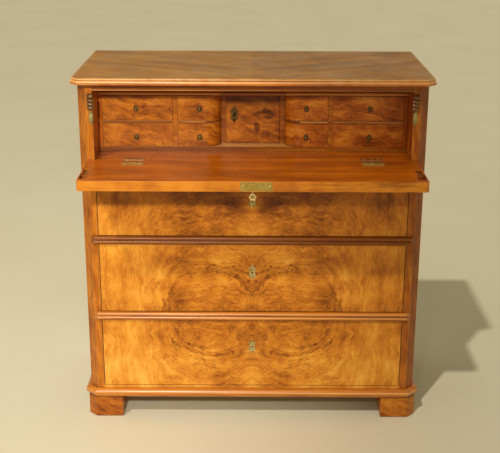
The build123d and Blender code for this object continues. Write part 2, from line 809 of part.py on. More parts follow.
with BuildPart() as gallery_shelves:
    for side_sign in (-1, 1):
        with BuildSketch(Plane.XY.offset(lower_top)):
            nosed_plan(
                side_sign,
                divider_x[0] - joint_gap,
                upright_x[1] + joint_gap,
                gallery_y,
                recess_depth - joint_gap,
                gallery_back,
            )
        extrude(amount=shelf_thickness)
    both_sides(
        (divider_x[1] + joint_gap, cheek_x[0] - joint_gap),
        (gallery_y, gallery_back),
        (lower_top, upper_bottom),
    )
gallery_shelves.part.label = "gallery_shelves"
export_step(gallery_shelves.part, "parts/gallery_shelves.step")

# Small drawers: a front, two sides, a bottom and a back, and a knob on an oval rose
small_gap = 0.5
small_front = 10.0
small_side = 6.0
small_bottom = 4.0
small_back_drop = 8.0
tray_back_gap = 65.0
small_bevel = 0.8
nose_return = 3.0
rose_half_width = 7.0
rose_half_height = 11.0
rose_thickness = 1.4
knob_radius = 5.0
knob_neck_radius = 2.4
knob_reach = 13.0
knob_across_shares = {"outer": 0.52, "inner": 0.487}
knob_rise_shares = {"upper": 0.46, "lower": 0.40}
small_columns = {
    "outer": (cheek_x[0] - small_gap, divider_x[1] + small_gap),
    "inner": (divider_x[0] - small_gap, upright_x[1] + small_gap),
}
small_rows = {"upper": (upper_bottom, gallery_underside), "lower": (base_top, lower_top)}
for row_name, (row_bottom, row_top) in small_rows.items():
    for column_name, (outer_x, inner_x) in small_columns.items():
        for side_name, side_sign in (("left", -1), ("right", 1)):
            name = f"{row_name}_{column_name}_{side_name}"
            low = row_bottom + seat_gap
            high = row_top - small_gap
            nose = recess_depth - small_gap
            board_y = gallery_y + small_front + joint_gap
            nose_end = gallery_y + nose + nose_return
            inner_board_y = (nose_end if column_name == "inner" else board_y) + joint_gap
            tray_back = inner_back_y - tray_back_gap
            with BuildPart() as small_drawer:
                if column_name == "inner":
                    with BuildSketch(Plane.XY.offset(low)):
                        nosed_plan(side_sign, outer_x, inner_x, gallery_y, nose, nose_end)
                        nosed_plan(
                            side_sign,
                            outer_x + overrun,
                            inner_x + small_front,
                            gallery_y + small_front,
                            nose - small_front,
                            nose_end + overrun,
                            Mode.SUBTRACT,
                        )
                    extrude(amount=high - low)
                else:
                    x_span = sorted((side_sign * inner_x, side_sign * outer_x))
                    span(x_span, (gallery_y, gallery_y + small_front), (low, high))
                with BuildSketch(Plane.XY.offset(low)):
                    if column_name == "inner":
                        nosed_plan(
                            side_sign,
                            outer_x - small_side - joint_gap,
                            inner_x + small_front + joint_gap,
                            board_y,
                            nose - small_front - joint_gap,
                            tray_back,
                        )
                    else:
                        Polygon(
                            (side_sign * (outer_x - small_side - joint_gap), board_y),
                            (side_sign * (inner_x + small_side + joint_gap), board_y),
                            (side_sign * (inner_x + small_side + joint_gap), tray_back),
                            (side_sign * (outer_x - small_side - joint_gap), tray_back),
                            align=None,
                        )
                extrude(amount=small_bottom)
                for start_y, x_pair in (
                    (board_y, (outer_x - small_side, outer_x)),
                    (inner_board_y, (inner_x, inner_x + small_side)),
                ):
                    x_span = sorted((side_sign * x_pair[0], side_sign * x_pair[1]))
                    span(x_span, (start_y, tray_back), (low, high - small_bevel))
                x_span = sorted(
                    (
                        side_sign * (inner_x + small_side + joint_gap),
                        side_sign * (outer_x - small_side - joint_gap),
                    )
                )
                span(
                    x_span,
                    (tray_back - small_side, tray_back),
                    (low + small_bottom + joint_gap, high - small_back_drop),
                )
            small_drawer.part.label = f"{name}_drawer"
            export_step(small_drawer.part, f"parts/{name}_drawer.step")

            knob_x = side_sign * (inner_x + knob_across_shares[column_name] * (outer_x - inner_x))
            knob_z = row_bottom + knob_rise_shares[row_name] * (row_top - row_bottom)
            with BuildPart() as knob:
                with BuildSketch(front_face(knob_x, gallery_y, knob_z)):
                    Ellipse(rose_half_width, rose_half_height)
                extrude(amount=rose_thickness)
                neck_length = knob_reach - knob_radius
                neck_y = gallery_y - neck_length / 2
                with Locations((knob_x, neck_y, knob_z)):
                    Cylinder(knob_neck_radius, neck_length, rotation=(90, 0, 0))
                with Locations((knob_x, gallery_y - neck_length, knob_z)):
                    Sphere(knob_radius)
            knob.part.label = f"{name}_knob"
            export_step(knob.part, f"parts/{name}_knob.step")

# The door of the recess, on pivot pins near its right edge
door_thickness = 14.0
door_corner_round = 2.0
door_gap = 0.6
door_plate_inset = 26.0
door_plate_rise_share = 0.57
door_plate_x = door_plate_inset - door_half
door_z = (base_top + door_gap, gallery_underside - door_gap)
door_plate_z = base_top + door_plate_rise_share * (gallery_underside - base_top)
with BuildPart() as door_panel:
    span((-door_half, door_half), (recess_y, recess_y + door_thickness), door_z)
    front_uprights = door_panel.edges().filter_by(Axis.Z).group_by(Axis.Y)[0]
    fillet(front_uprights.sort_by(Axis.X)[-1], radius=door_corner_round)
    pivot_bore(door_z[0] - overrun, door_z[0] + pivot_length)
    pivot_bore(door_z[1] - pivot_length, door_z[1] + overrun)
    with BuildSketch(front_face(door_plate_x, recess_y, door_plate_z)):
        keyhole(Mode.ADD)
    extrude(amount=-door_thickness, mode=Mode.SUBTRACT)
door_panel.part.label = "door_panel"
export_step(door_panel.part, "parts/door_panel.step")

door_escutcheon = escutcheon(front_face(door_plate_x, recess_y, door_plate_z))
door_escutcheon.label = "door_escutcheon"
export_step(door_escutcheon, "parts/door_escutcheon.step")

with BuildPart() as door_pins:
    pin_length = 2 * pivot_length + door_gap
    for pin_middle in (door_z[0] - door_gap / 2, door_z[1] + door_gap / 2):
        with Locations((pivot_x, pivot_y, pin_middle)):
            Cylinder(pivot_radius, pin_length)
door_pins.part.label = "door_pins"
export_step(door_pins.part, "parts/door_pins.step")
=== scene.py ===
import json
from math import cos, pi, radians, sin

import bmesh
import bpy
from mathutils import Matrix, Vector


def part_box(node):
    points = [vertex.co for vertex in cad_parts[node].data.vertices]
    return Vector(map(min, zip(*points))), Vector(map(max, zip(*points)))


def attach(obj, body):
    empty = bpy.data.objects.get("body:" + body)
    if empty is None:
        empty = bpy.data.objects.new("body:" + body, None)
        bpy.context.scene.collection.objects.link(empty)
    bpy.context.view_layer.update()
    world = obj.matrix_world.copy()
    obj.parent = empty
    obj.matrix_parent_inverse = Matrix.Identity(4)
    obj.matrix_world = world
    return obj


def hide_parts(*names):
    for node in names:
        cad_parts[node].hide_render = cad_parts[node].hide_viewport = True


# A secretaire chest in book-matched walnut, with its fall flap open. Lengths are in metres.
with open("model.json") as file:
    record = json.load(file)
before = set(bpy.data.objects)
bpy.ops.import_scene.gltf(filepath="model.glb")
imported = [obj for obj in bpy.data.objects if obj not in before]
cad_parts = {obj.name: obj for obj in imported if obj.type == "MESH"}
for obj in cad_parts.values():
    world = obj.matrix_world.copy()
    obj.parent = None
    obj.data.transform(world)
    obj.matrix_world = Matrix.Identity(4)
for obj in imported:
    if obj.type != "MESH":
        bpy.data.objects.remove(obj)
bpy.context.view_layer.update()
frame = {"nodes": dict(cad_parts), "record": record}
nodes = frame["nodes"]

# Faces of the posts and long drawers, of the small drawers, and of the recessed door
front_y = -0.1305
gallery_y = -0.0125
recess_y = 0.0345
writing_height = 0.884
chest_top = 1.146
# Where the noses of the inner drawers begin, and where the key, hinges and corbels sit
nose_x = 0.149
key_y = -0.3325
hinge_x = 0.368
corbel_x = 0.49525
# Colours that all the walnut shares: its veins, its open pores, and a dark for old wax and painted shade in
# the seams
vein = "5A260A"
pore = "3C1A05"
shade_and_wax = "260F03"


def new_object(name, data):
    thing = bpy.data.objects.new(name, data)
    bpy.context.scene.collection.objects.link(thing)
    return thing


# The photograph's camera
def set_camera():
    """A camera at the photograph's place, with its long lens."""
    tilt, yaw, roll = radians(18.402), radians(-0.147), radians(-0.206)
    forward = Vector((sin(yaw) * cos(tilt), cos(yaw) * cos(tilt), -sin(tilt)))
    level = Vector((cos(yaw), -sin(yaw), 0))
    upright = Vector((sin(yaw) * sin(tilt), cos(yaw) * sin(tilt), cos(tilt)))
    right = level * cos(roll) - upright * sin(roll)
    up = level * sin(roll) + upright * cos(roll)
    lens = bpy.data.cameras.new("photograph")
    lens.sensor_width = 36
    lens.lens = 1044.3 * 36 / 500
    camera = new_object("photograph", lens)
    camera.matrix_world = Matrix(
        [(right[i], up[i], -forward[i], (0.0001, -3.2627, 1.7112)[i]) for i in range(3)]
        + [(0, 0, 0, 1)]
    )
    bpy.context.scene.camera = camera


def linear(shade):
    """A colour written as six hex digits, as the shader wants it."""
    parts = [int(shade[i : i + 2], 16) / 255 for i in (0, 2, 4)]
    return [p / 12.92 if p <= 0.04045 else ((p + 0.055) / 1.055) ** 2.4 for p in parts] + [1]


def worked_out(operation):
    """A method that adds the maths node for one kind of arithmetic."""
    return lambda *values: values[0].finish.maths(operation, *values)


class Value:
    """A value in a material. Plain arithmetic with it adds the nodes that work it out."""

    def __init__(self, finish, socket):
        self.finish = finish
        self.socket = socket

    __add__ = worked_out("ADD")
    __sub__ = worked_out("SUBTRACT")
    __mul__ = worked_out("MULTIPLY")
    __truediv__ = worked_out("DIVIDE")
    __abs__ = worked_out("ABSOLUTE")

    def __rsub__(self, other):
        return self.finish.maths("SUBTRACT", other, self)


class Tree:
    """A node tree that is laid out step by step."""

    def __init__(self, tree):
        self.tree = tree

    def add(self, kind, inputs=None, **settings):
        node = self.tree.nodes.new(kind)
        for key, value in settings.items():
            setattr(node, key, value)
        for key, value in (inputs or {}).items():
            self.put(node.inputs[key], value)
        return node

    def put(self, socket, value):
        """Links a value to the socket, or sets the socket to a number or to a colour in hex digits."""
        if isinstance(value, Value):
            value = value.socket
        if isinstance(value, bpy.types.NodeSocket):
            self.tree.links.new(value, socket)
        elif socket.type == "RGBA":
            socket.default_value = linear(value)
        else:
            socket.default_value = value


class Finish(Tree):
    """One material, with the place and the direction of its surface at hand."""

    def __init__(self, name):
        self.material = bpy.data.materials.new(name)
        self.material.use_nodes = True
        super().__init__(self.material.node_tree)
        self.tree.nodes.clear()
        own = self.add("ShaderNodeTexCoord")
        self.place = own.outputs["Object"]
        self.x, self.y, self.z = self.split(self.place)
        self.face_x, self.face_y, self.face_z = self.split(own.outputs["Normal"])
        self.shader = self.add("ShaderNodeBsdfPrincipled")
        self.add("ShaderNodeOutputMaterial", {"Surface": self.shader.outputs[0]})

    def value(self, kind, inputs, output=0, **settings):
        """What comes out of a new shader node."""
        return Value(self, self.add("ShaderNode" + kind, inputs, **settings).outputs[output])

    def split(self, vector):
        return [Value(self, part) for part in self.add("ShaderNodeSeparateXYZ", {0: vector}).outputs]

    def vector(self, x, y, z):
        return self.value("CombineXYZ", {0: x, 1: y, 2: z})

    def maths(self, operation, *values):
        return self.value("Math", dict(enumerate(values)), operation=operation)

    def most(self, a, b):
        return self.maths("MAXIMUM", a, b)

    def noise(self, place, scale, detail=3, roughness=0.5, distortion=0):
        """Cloudy noise at a place, which may be given as three values."""
        vector = self.vector(*place) if isinstance(place, tuple) else place
        inputs = {"Vector": vector, "Scale": scale, "Detail": detail}
        inputs.update({"Roughness": roughness, "Distortion": distortion})
        return self.value("TexNoise", inputs)

    def rise(self, value, low, high, start=0, end=1):
        """Goes smoothly from start to end while the value goes from low to high."""
        inputs = {0: value, 1: low, 2: high, 3: start, 4: end}
        return self.value("MapRange", inputs, interpolation_type="SMOOTHSTEP")

    def ramp(self, value, stops):
        node = self.add("ShaderNodeValToRGB", {0: value})
        elements = node.color_ramp.elements
        while len(elements) < len(stops):
            elements.new(0.5)
        for element, (position, shade) in zip(elements, stops):
            element.position = position
            element.color = linear(shade)
        return Value(self, node.outputs[0])

    def mix(self, share, a, b):
        """A share of colour b over colour a."""
        return self.value("Mix", {0: share, 6: a, 7: b}, 2, data_type="RGBA")

    def cloud(self, across, up, centre, reach):
        """A soft patch: 1 at its centre and 0 from its reach outwards."""
        a = (across - centre[0]) / reach[0]
        b = (up - centre[1]) / reach[1]
        return self.rise(self.maths("SQRT", a * a + b * b), 0, 1, 1, 0)

    def soft_edges(self, radius=0.0008):
        """Normals that turn over the arrises, as on edges rounded by use."""
        return self.value("Bevel", {"Radius": radius}, samples=4)

    def arris_mask(self, radius):
        """High along the arrises, where the polish rubs off, where painted highlights go, and where painted
        shade marks the gaps round small fronts.
        """
        sides = {0: self.soft_edges(radius), 1: self.add("ShaderNodeNewGeometry").outputs["Normal"]}
        agree = self.value("VectorMath", sides, "Value", operation="DOT_PRODUCT")
        return self.rise(agree, 0.99, 0.85)

    def corner_shade_and_dirt(self, reach):
        """High in corners and seams, where shade falls and old wax, dust and tarnish stay; what it darkens is
        painted shade as well as dirt.
        """
        open_share = self.value("AmbientOcclusion", {"Distance": reach}, "AO", samples=4)
        return self.rise(open_share, 0.86, 0.36)

    def bump(self, height, distance, strength, normal):
        inputs = {"Height": height, "Distance": distance, "Strength": strength, "Normal": normal}
        return self.value("Bump", inputs)

    def dovetails(self):
        """The end grain of the lapped dovetails in a long drawer's front, seen from its side."""
        lap, tail_length, spacing = 0.006, 0.016, 0.046
        depth = (self.y - (front_y + lap)) / tail_length
        away = abs(self.maths("FRACT", self.z * (1 / spacing)) - 0.5)
        tail = self.maths("LESS_THAN", away, depth * -0.1 + 0.36)
        on_end = self.maths("GREATER_THAN", abs(self.face_x), 0.9)
        return tail * self.maths("GREATER_THAN", depth, 0) * on_end

    def set(self, **values):
        for key, value in values.items():
            self.put(self.shader.inputs[key.replace("_", " ")], value)
        return self.material


# Lays: the coordinate across the growth rings, along which the figure changes fast
def wandering(f, x, y, z, amount, scale, detail=2.5):
    """The place pushed about by slow noise, so that rings wander and curl."""
    spot = f.vector(x, y, z)
    shift = f.value("TexNoise", {"Vector": spot, "Scale": scale, "Detail": detail}, 1)
    middle = f.value("VectorMath", {0: shift, 1: (0.5, 0.5, 0.5)}, operation="SUBTRACT")
    scaled = f.value("VectorMath", {0: middle, "Scale": amount}, operation="SCALE")
    return f.split(f.value("VectorMath", {0: spot, 1: scaled}, operation="ADD"))


def straight_lay(f, along, wander=0.012, scale=3):
    """Straight grain along one axis."""
    x, y, z = wandering(f, f.x, f.y, f.z, wander, scale)
    if along == "x":
        return y + z * 0.8
    if along == "y":
        return x + z * 0.8
    return x + y * 0.7


def edge_lay(f):
    """Grain that runs with the edges of a frame: along X in front and along Y on the sides."""
    on_side = f.rise(abs(f.face_x), 0.8, 0.86)
    return blend(f, on_side, straight_lay(f, "x"), straight_lay(f, "y"))


def box_lay(f):
    """Grain of a drawer box: along X on its front and back, along Y on its sides and bottom."""
    on_front = f.rise(abs(f.face_y), 0.8, 0.86)
    return blend(f, on_front, straight_lay(f, "y"), straight_lay(f, "x"))


def blend(f, share, a, b):
    return f.value("Mix", {0: share, 2: a, 3: b}, data_type="FLOAT")


def fibres(f, ring, fine, stretch, detail=3, roughness=0.6):
    """Noise that is stretched along the rings."""
    spot = ring * fine, (f.x + f.y * 0.7) * stretch, f.z * stretch
    return f.noise(spot, 1, detail, roughness)


def near(f, value, target, width):
    """1 where the value meets the target, 0 from the width outwards."""
    return f.rise(abs(value - target), 0, width, 1, 0)


def dashes(f, ring, fine=380, stretch=60):
    """Short dark strokes along the rings, as open pores filled with old wax."""
    return f.rise(fibres(f, ring, fine, stretch, 2, 0.5), 0.57, 0.66)


def eyes(f, x, z, scale):
    """Small ringed pips, as in burrs."""
    cells = f.value("TexVoronoi", {"Vector": f.vector(x, 0, z), "Scale": scale})
    return f.most(near(f, cells, 0.26, 0.07), near(f, cells, 0, 0.12))


def polish(
    f, colour, ring, gloss=0.3, wear_shade="D08A3C", wear=0.3, corner_shade_and_wax=0.6, coat=0.1,
    rounding=0.0008, seam=0.006, sheen=0.15, edge_reach=0.003,
):
    """What all the polished wood has: pores; arrises lightened by use and by painted highlights, dark as
    painted shade on the small fronts; old wax and painted shade in the seams; and a thin polish.
    """
    pores = f.rise(fibres(f, ring, 1300, 45, 2), 0.62, 0.7)
    colour = f.mix(pores * 0.35, colour, pore)
    # Arrises: use marks, painted highlights where the colour is pale, and painted shade in the gaps where it
    # is dark.
    edge_marks = f.arris_mask(edge_reach) * f.rise(f.noise(f.place, 30, 3), 0.35, 0.6, 0.3, 1)
    colour = f.mix(edge_marks * wear, colour, wear_shade)
    # Painted shade in corners and seams, with old wax.
    colour = f.mix(f.corner_shade_and_dirt(seam) * corner_shade_and_wax, colour, shade_and_wax)
    rough = f.rise(f.noise(f.place, 9, 4, 0.6), 0.3, 0.7, gloss - 0.05, gloss + 0.1)
    normal = f.bump(pores, 0.00005, 0.5, f.soft_edges(rounding))
    return f.set(
        Base_Color=colour, Roughness=rough, Normal=normal, Specular_IOR_Level=0.25,
        Coat_Weight=coat, Coat_Roughness=sheen,
    )


def tones(shades, places=(0.28, 0.42, 0.54, 0.66, 0.8)):
    """The stops of a colour ramp, from the dark wood to the light."""
    return list(zip(places, shades.split()))


golden_tones = tones("5E2A06 90500F BA701C D48C2C E6A844 F2C060", (0.24, 0.36, 0.47, 0.58, 0.7, 0.84))
orange_tones = tones("7C3E0C A45C14 C2761E D28828 E09C3C")
ruddy_tones = tones("5E2606 84400C 9E5412 B4681C C67E2A")
amber_tones = tones("6E3408 9C5410 BC6E1A D08426 E29C40")
brown_tones = tones("6C410B 8E5A12 A46C1A B67D24 CA9232")
fiery_tones = tones("6A2C08 9A4E10 BE681C D88428 EAA23C")
red_tones = tones("6E2E02 964A04 B45E06 CA720C DA8818")
dark_tones = tones("38240F 583A1A 765026 90683A AA8450")
pine_tones = tones("9C7244 BA8E5C CAA06E D8B284 E2C298")
side_tones = tones("6C320A 904C10 AC6016 BE7420 CC8832")


def burr_figure(f, half, up, wing):
    """Book-matched burr: rayed wings with crinkled rims, clouds about them, and upright streaks at the ends.
    Painted light makes the left ends and the lower part lighter, and painted shade makes the upper part
    darker.

    wing is the middle of a wing (across, up), then how far it reaches across and up.
    """
    wing_x, wing_z, wide, tall = wing
    x, _, z = wandering(f, half, 0, up, 0.07, 7, 3)
    x, _, z = wandering(f, x, 3, z, 0.03, 26, 4)
    a = (x - wing_x) / wide
    b = (z - wing_z) / tall
    reach = f.maths("SQRT", a * a + b * b)
    inside = f.rise(reach, 0.65, 1.1, 1, 0)
    spread = f.most(0.4 - x, 0.1)
    fan = (z - wing_z) / spread * 0.3
    ends = f.rise(x, 0.24, 0.38)
    ring = blend(f, ends, blend(f, inside, reach * 0.16, fan), x * 1.15)
    broad = f.noise((ring * 40, half * 6, up * 6), 1, 4, 0.6)
    strokes = f.noise((ring * 170, half * 20, up * 20), 1, 3, 0.65)
    mottle = f.noise((x, 0.7, z), 55, 4, 0.7)
    haze = f.noise((half, 0.4, up), 9, 4, 0.6)
    rim = f.most(near(f, reach, 1, 0.34), f.cloud(half, up, (0.27, wing_z), (0.09, 0.22)) * 0.7)
    rim = rim * (1 - f.cloud(half, up, (0.235, wing_z + 0.1), (0.08, 0.09)))
    heart = f.cloud(half, up, (0, wing_z + 0.085), (0.085, 0.075))
    sides = f.cloud(half, up, (0.3, wing_z + 0.02), (0.1, 0.3)) * 0.5
    burr = f.most(f.most(rim, heart), sides)
    patches = f.rise(f.noise((half, 1.7, up), 13, 3), 0.36, 0.54)
    knots = burr * patches
    tone = broad * 0.36 + strokes * 0.28 + mottle * f.rise(ends, 0, 1, 0.28, 0.14) + haze * 0.5 - 0.2
    # Painted light and shade: the ends lighter at the left, the figure darker towards the top under the
    # flap's shadow, and lighter towards the bottom.
    tone = tone + ends * f.rise(f.x, -0.4, 0.1, 0.13, 0.08) + knots * -0.06 + inside * -0.02
    tone = tone + f.rise(up, wing_z + 0.22, wing_z + 0.4, 0, -0.08)
    tone = tone + f.rise(up, wing_z - 0.1, wing_z, 0.03, 0)
    for centre, size, depth in (
        ((0.245, wing_z + 0.045), (0.045, 0.055), -0.08),
        ((0.1, wing_z + 0.41), (0.22, 0.06), -0.1),
        ((0.06, wing_z + 0.34), (0.07, 0.05), -0.12),
        ((0.1, wing_z - 0.25), (0.06, 0.05), -0.12),
        ((0.3, wing_z + 0.18), (0.12, 0.06), -0.09),
        ((0.05, wing_z - 0.16), (0.09, 0.04), -0.07),
        ((0.21, wing_z - 0.19), (0.15, 0.07), 0.06),
    ):
        tone = tone + f.cloud(x, z, centre, size) * depth
    colour = f.ramp(tone, golden_tones)
    wiggle = f.noise((half, 0.9, up), 38, 4, 0.6, 1.2) * 0.5
    outline = f.maths("FRACT", (reach + wiggle) * 5.5)
    veins = near(f, outline, 0.5, 0.17) * f.rise(knots, 0.1, 0.6)
    veins = f.most(veins, eyes(f, x, z, 62) * f.rise(knots, 0.35, 0.8))
    pores = f.noise((ring * 330, half * 60, up * 60), 1, 2, 0.5)
    pores = f.rise(pores, 0.57, 0.66) * f.rise(haze, 0.62, 0.42, 0.1, 0.65)
    pores = pores * f.rise(ends, 0, 1, 1, 0.5)
    marks = f.most(veins * 0.8, pores)
    return f.mix(marks, colour, vein), ring


def burr_walnut(name):
    """The golden veneer of the long drawers, continuous from one to the next."""
    f = Finish(name)
    colour, ring = burr_figure(f, abs(f.x), f.z, (0.13, 0.385, 0.15, 0.145))
    lipping = f.rise(f.y, front_y + 0.0012, front_y + 0.0016)
    core = f.ramp(fibres(f, straight_lay(f, "x"), 300, 6), pine_tones)
    core = f.mix(f.dovetails(), core, "D9B981")
    colour = f.mix(lipping, colour, core)
    return polish(f, colour, ring, corner_shade_and_wax=0.35)


def straight_walnut(
    name, along, stops, gloss=0.3, coat=0.25, wander=0.012, scale=3, coarse=45, flame=0, **finish
):
    """Walnut with its grain along one axis, plain or with a flame across it."""
    f = Finish(name)
    ring = straight_lay(f, along, wander, scale)
    bands = fibres(f, ring, coarse, 2)
    streaks = fibres(f, ring, coarse * 8, 9)
    haze = f.noise(f.place, 11, 3)
    tone = bands * 0.5 + streaks * 0.32 + haze * (0.18 + flame) - flame / 2
    colour = f.mix(dashes(f, ring, 420, 18) * 0.35, f.ramp(tone, stops), vein)
    return polish(f, colour, ring, gloss, coat=coat, **finish)


def post_walnut(name):
    """Upright grain with a flame in it; the right post is painted redder and darker as shade, painted shade
    darkens the canted corners, and painted highlights run along the arrises.
    """
    f = Finish(name)
    ring = straight_lay(f, "z", 0.03, 4)
    bands = fibres(f, ring + f.z * 0.12, 55, 5)
    streaks = fibres(f, ring, 420, 9)
    haze = f.noise((f.x * 1.5, f.y, f.z), 16, 3)
    tone = bands * 0.5 + streaks * 0.3 + haze * 0.4 - 0.1
    # Painted shade: redder and darker towards the right.
    colour = f.mix(f.rise(f.x, -0.2, 0.2, 0.2, 0.65), f.ramp(tone, orange_tones), f.ramp(tone, ruddy_tones))
    colour = f.mix(dashes(f, ring, 420, 16) * 0.45, colour, vein)
    # Painted shade on the canted corners, which face away from the light.
    cant_shade = f.rise(abs(f.face_x), 0.35, 0.6)
    colour = f.mix(cant_shade * 0.25, colour, "6A3410")
    return polish(f, colour, ring, 0.28, wear=0.7, wear_shade="E0A256", rounding=0.0016)


def foot_walnut(name):
    """Burr on the faces of the feet; the right pair is painted a little lighter and more golden, as painted
    light.
    """
    f = Finish(name)
    x, y, z = wandering(f, f.x, f.y, f.z, 0.05, 14, 4)
    ring = z + x * 0.4 + y * 0.4
    bands = fibres(f, ring, 60, 8)
    strokes = fibres(f, ring, 280, 30)
    haze = f.noise(f.place, 24, 4)
    tone = bands * 0.56 + strokes * 0.34 + haze * 0.5 - 0.2
    # Painted light: the right pair lighter and more golden.
    colour = f.mix(f.rise(f.x, -0.2, 0.2, 0.2, 0.9), f.ramp(tone, ruddy_tones), f.ramp(tone, orange_tones))
    colour = f.mix(dashes(f, ring) * 0.5, colour, vein)
    return polish(f, colour, ring, 0.34, wear=0.6, corner_shade_and_wax=0.9)


def frieze_walnut(name):
    """Dark wood along the frieze, with a pale cock bead worked flush along its lower edge; a painted
    highlight on the bead fades from left to right, and a line of painted shade marks the quirk over it.
    """
    f = Finish(name)
    ring = straight_lay(f, "x")
    tone = fibres(f, ring, 50, 3) * 0.6 + fibres(f, ring, 420, 9) * 0.4
    bead_top = 1.104
    bead = f.rise(f.z, bead_top, bead_top + 0.0006, 1, 0)
    # Painted highlight: the bead is paler, most of all at the left.
    colour = f.mix(
        bead * f.rise(f.x, -0.3, 0.05, 1, 0.45), f.ramp(tone, ruddy_tones),
        f.ramp(tone, [(0.3, "C88A40"), (0.6, "E2AC62")]),
    )
    # Painted shade: a dark line in the quirk over the bead.
    quirk_shade = near(f, f.z, bead_top + 0.0012, 0.0011)
    colour = f.mix(quirk_shade * 0.9, colour, "240E04")
    round_over = near(f, f.z, bead_top - 0.002, 0.003)
    shine = f.bump(round_over * bead, 0.003, 0.8, f.soft_edges())
    # Painted shade in the corners, with old wax.
    colour = f.mix(f.corner_shade_and_dirt(0.006) * 0.6, colour, shade_and_wax)
    return f.set(
        Base_Color=colour, Roughness=f.rise(bead, 0, 1, 0.32, 0.2), Normal=shine,
        Specular_IOR_Level=0.3, Coat_Weight=f.rise(bead, 0, 1, 0.1, 0.5),
    )


def moulding_walnut(name):
    """Glossy straight-grained mouldings with a painted highlight along their crests, stronger to the right;
    the upper rail's are painted darker as the shadow under the flap.
    """
    f = Finish(name)
    ring = edge_lay(f)
    tone = fibres(f, ring, 70, 2) * 0.5 + fibres(f, ring, 560, 9) * 0.5
    # Painted shadow: the upper rail lies under the flap and is darkened.
    upper = f.rise(f.z, 0.55, 0.56) * f.rise(f.z, 0.7, 0.69)
    colour = f.mix(upper * 0.65, f.ramp(tone, orange_tones), "5E2808")
    # Painted highlight along the crests, none on the upper rail, stronger to the right.
    crest_highlight = near(f, f.face_z, 0.26, 0.24) * (1 - upper)
    crest_highlight = crest_highlight * f.rise(f.x, -0.4, 0.3, 0.3, 0.8)
    colour = f.mix(crest_highlight, colour, "F0B870")
    coat = f.rise(upper, 0, 1, 0.7, 0.1)
    wear = f.rise(upper, 0, 1, 0.45, 0.15)
    return polish(f, colour, ring, 0.3, coat=coat, wear=wear, wear_shade="E6AC62", corner_shade_and_wax=0.9, sheen=0.26)


def top_walnut(name):
    """Two book-matched leaves with a sweeping figure, the left leaf painted lighter as a reflection; the
    mouldings under them run with their edges, with painted highlights on their crests and arrises and painted
    shade in the quirk between.
    """
    f = Finish(name)
    half = abs(f.x)
    x, y, z = wandering(f, half, f.y, f.z, 0.1, 2.6, 3)
    ring = y * 0.9 + x * -0.42 + z * 0.8
    bands = f.noise((ring * 24, half * 1.8, f.y * 1.8), 1, 4, 0.6)
    fine = f.noise((ring * 240, half * 9, f.y * 9), 1, 3, 0.6)
    haze = f.noise((half, f.y, 0), 6, 4)
    # Painted reflection: the left leaf a little lighter, the right a little darker.
    leaf = f.rise(f.x, -0.0003, 0.0003, 0.035, -0.02)
    tone = bands * 0.6 + fine * 0.26 + haze * 0.4 + leaf - 0.13
    colour = f.ramp(tone, brown_tones)
    colour = f.mix(dashes(f, ring, 300, 20) * 0.35, colour, "5A340F")
    colour = f.mix(near(f, f.x, 0, 0.0006) * 0.6, colour, "3A1B08")
    trim = f.ramp(fibres(f, edge_lay(f), 160, 3), fiery_tones)
    under = f.rise(f.z, chest_top - 0.0022, chest_top - 0.0012, 1, 0)
    # Painted highlights on the two crests of the moulding.
    crest_highlights = f.most(near(f, f.z, 1.1425, 0.0045), near(f, f.z, 1.135, 0.004))
    trim = f.mix(crest_highlights * 0.6, trim, "EEB268")
    # Painted shade: a dark line in the quirk between the crests.
    trim = f.mix(near(f, f.z, 1.139, 0.0014) * 0.8, trim, vein)
    shine = f.rise(under, 0, 1, 0.05, 0.6)
    return polish(
        f, f.mix(under, colour, trim), ring, 0.28, coat=shine, wear=0.6, wear_shade="F0C48C", corner_shade_and_wax=0.85,
        sheen=0.3, edge_reach=0.014,
    )


def flap_walnut(name):
    """Straight red-brown grain on the writing face, burr on the outer face, plain edges painted lighter
    towards the left; painted shade darkens the pockets at its ends.
    """
    f = Finish(name)
    run = straight_lay(f, "x", 0.05, 2)
    bands = fibres(f, run, 17, 2.2)
    fine = fibres(f, run, 190, 6)
    haze = f.noise((f.x * 0.5, f.y, 0), 9, 3)
    tone = bands * 0.5 + fine * 0.28 + haze * 0.34 - 0.06
    writing = f.mix(dashes(f, run, 300, 12) * 0.35, f.ramp(tone, red_tones), "5A2206")
    cross = f.noise((f.x, f.y * 0.3, f.z), 15, 4)
    # Painted light: the edge a little lighter at the left.
    edge = f.ramp(
        bands * 0.4 + fine * 0.25 + cross * 0.42 + f.rise(f.x, -0.3, 0.1, 0.08, -0.02), orange_tones,
    )
    streak = f.rise(f.noise((f.x * 9, f.y, f.z * 300), 1, 2), 0.56, 0.64) * f.rise(f.x, 0.02, 0.12)
    edge = f.mix(streak * 0.75, edge, vein)
    half = abs(f.x)
    up = 0.7531 - f.y
    outer, _ = burr_figure(f, half, up, (0.14, 1, 0.15, 0.1))
    colour = f.mix(f.rise(f.z, writing_height - 0.0012, writing_height - 0.0006), edge, writing)
    colour = f.mix(f.rise(f.face_z, -0.9, -0.7, 1, 0), colour, outer)
    hollow = f.rise(f.z, writing_height - 0.001, writing_height - 0.003)
    # Painted shade in the pockets at the flap's ends.
    pocket_shade = f.rise(half, 0.47, 0.474) * f.rise(half, 0.524, 0.52)
    pocket_shade = pocket_shade * f.rise(f.y, -0.362, -0.358)
    colour = f.mix(hollow * pocket_shade * 0.8, colour, "7A3A0E")
    return polish(f, colour, run, 0.36, coat=0.08, wear=0.45, sheen=0.3)


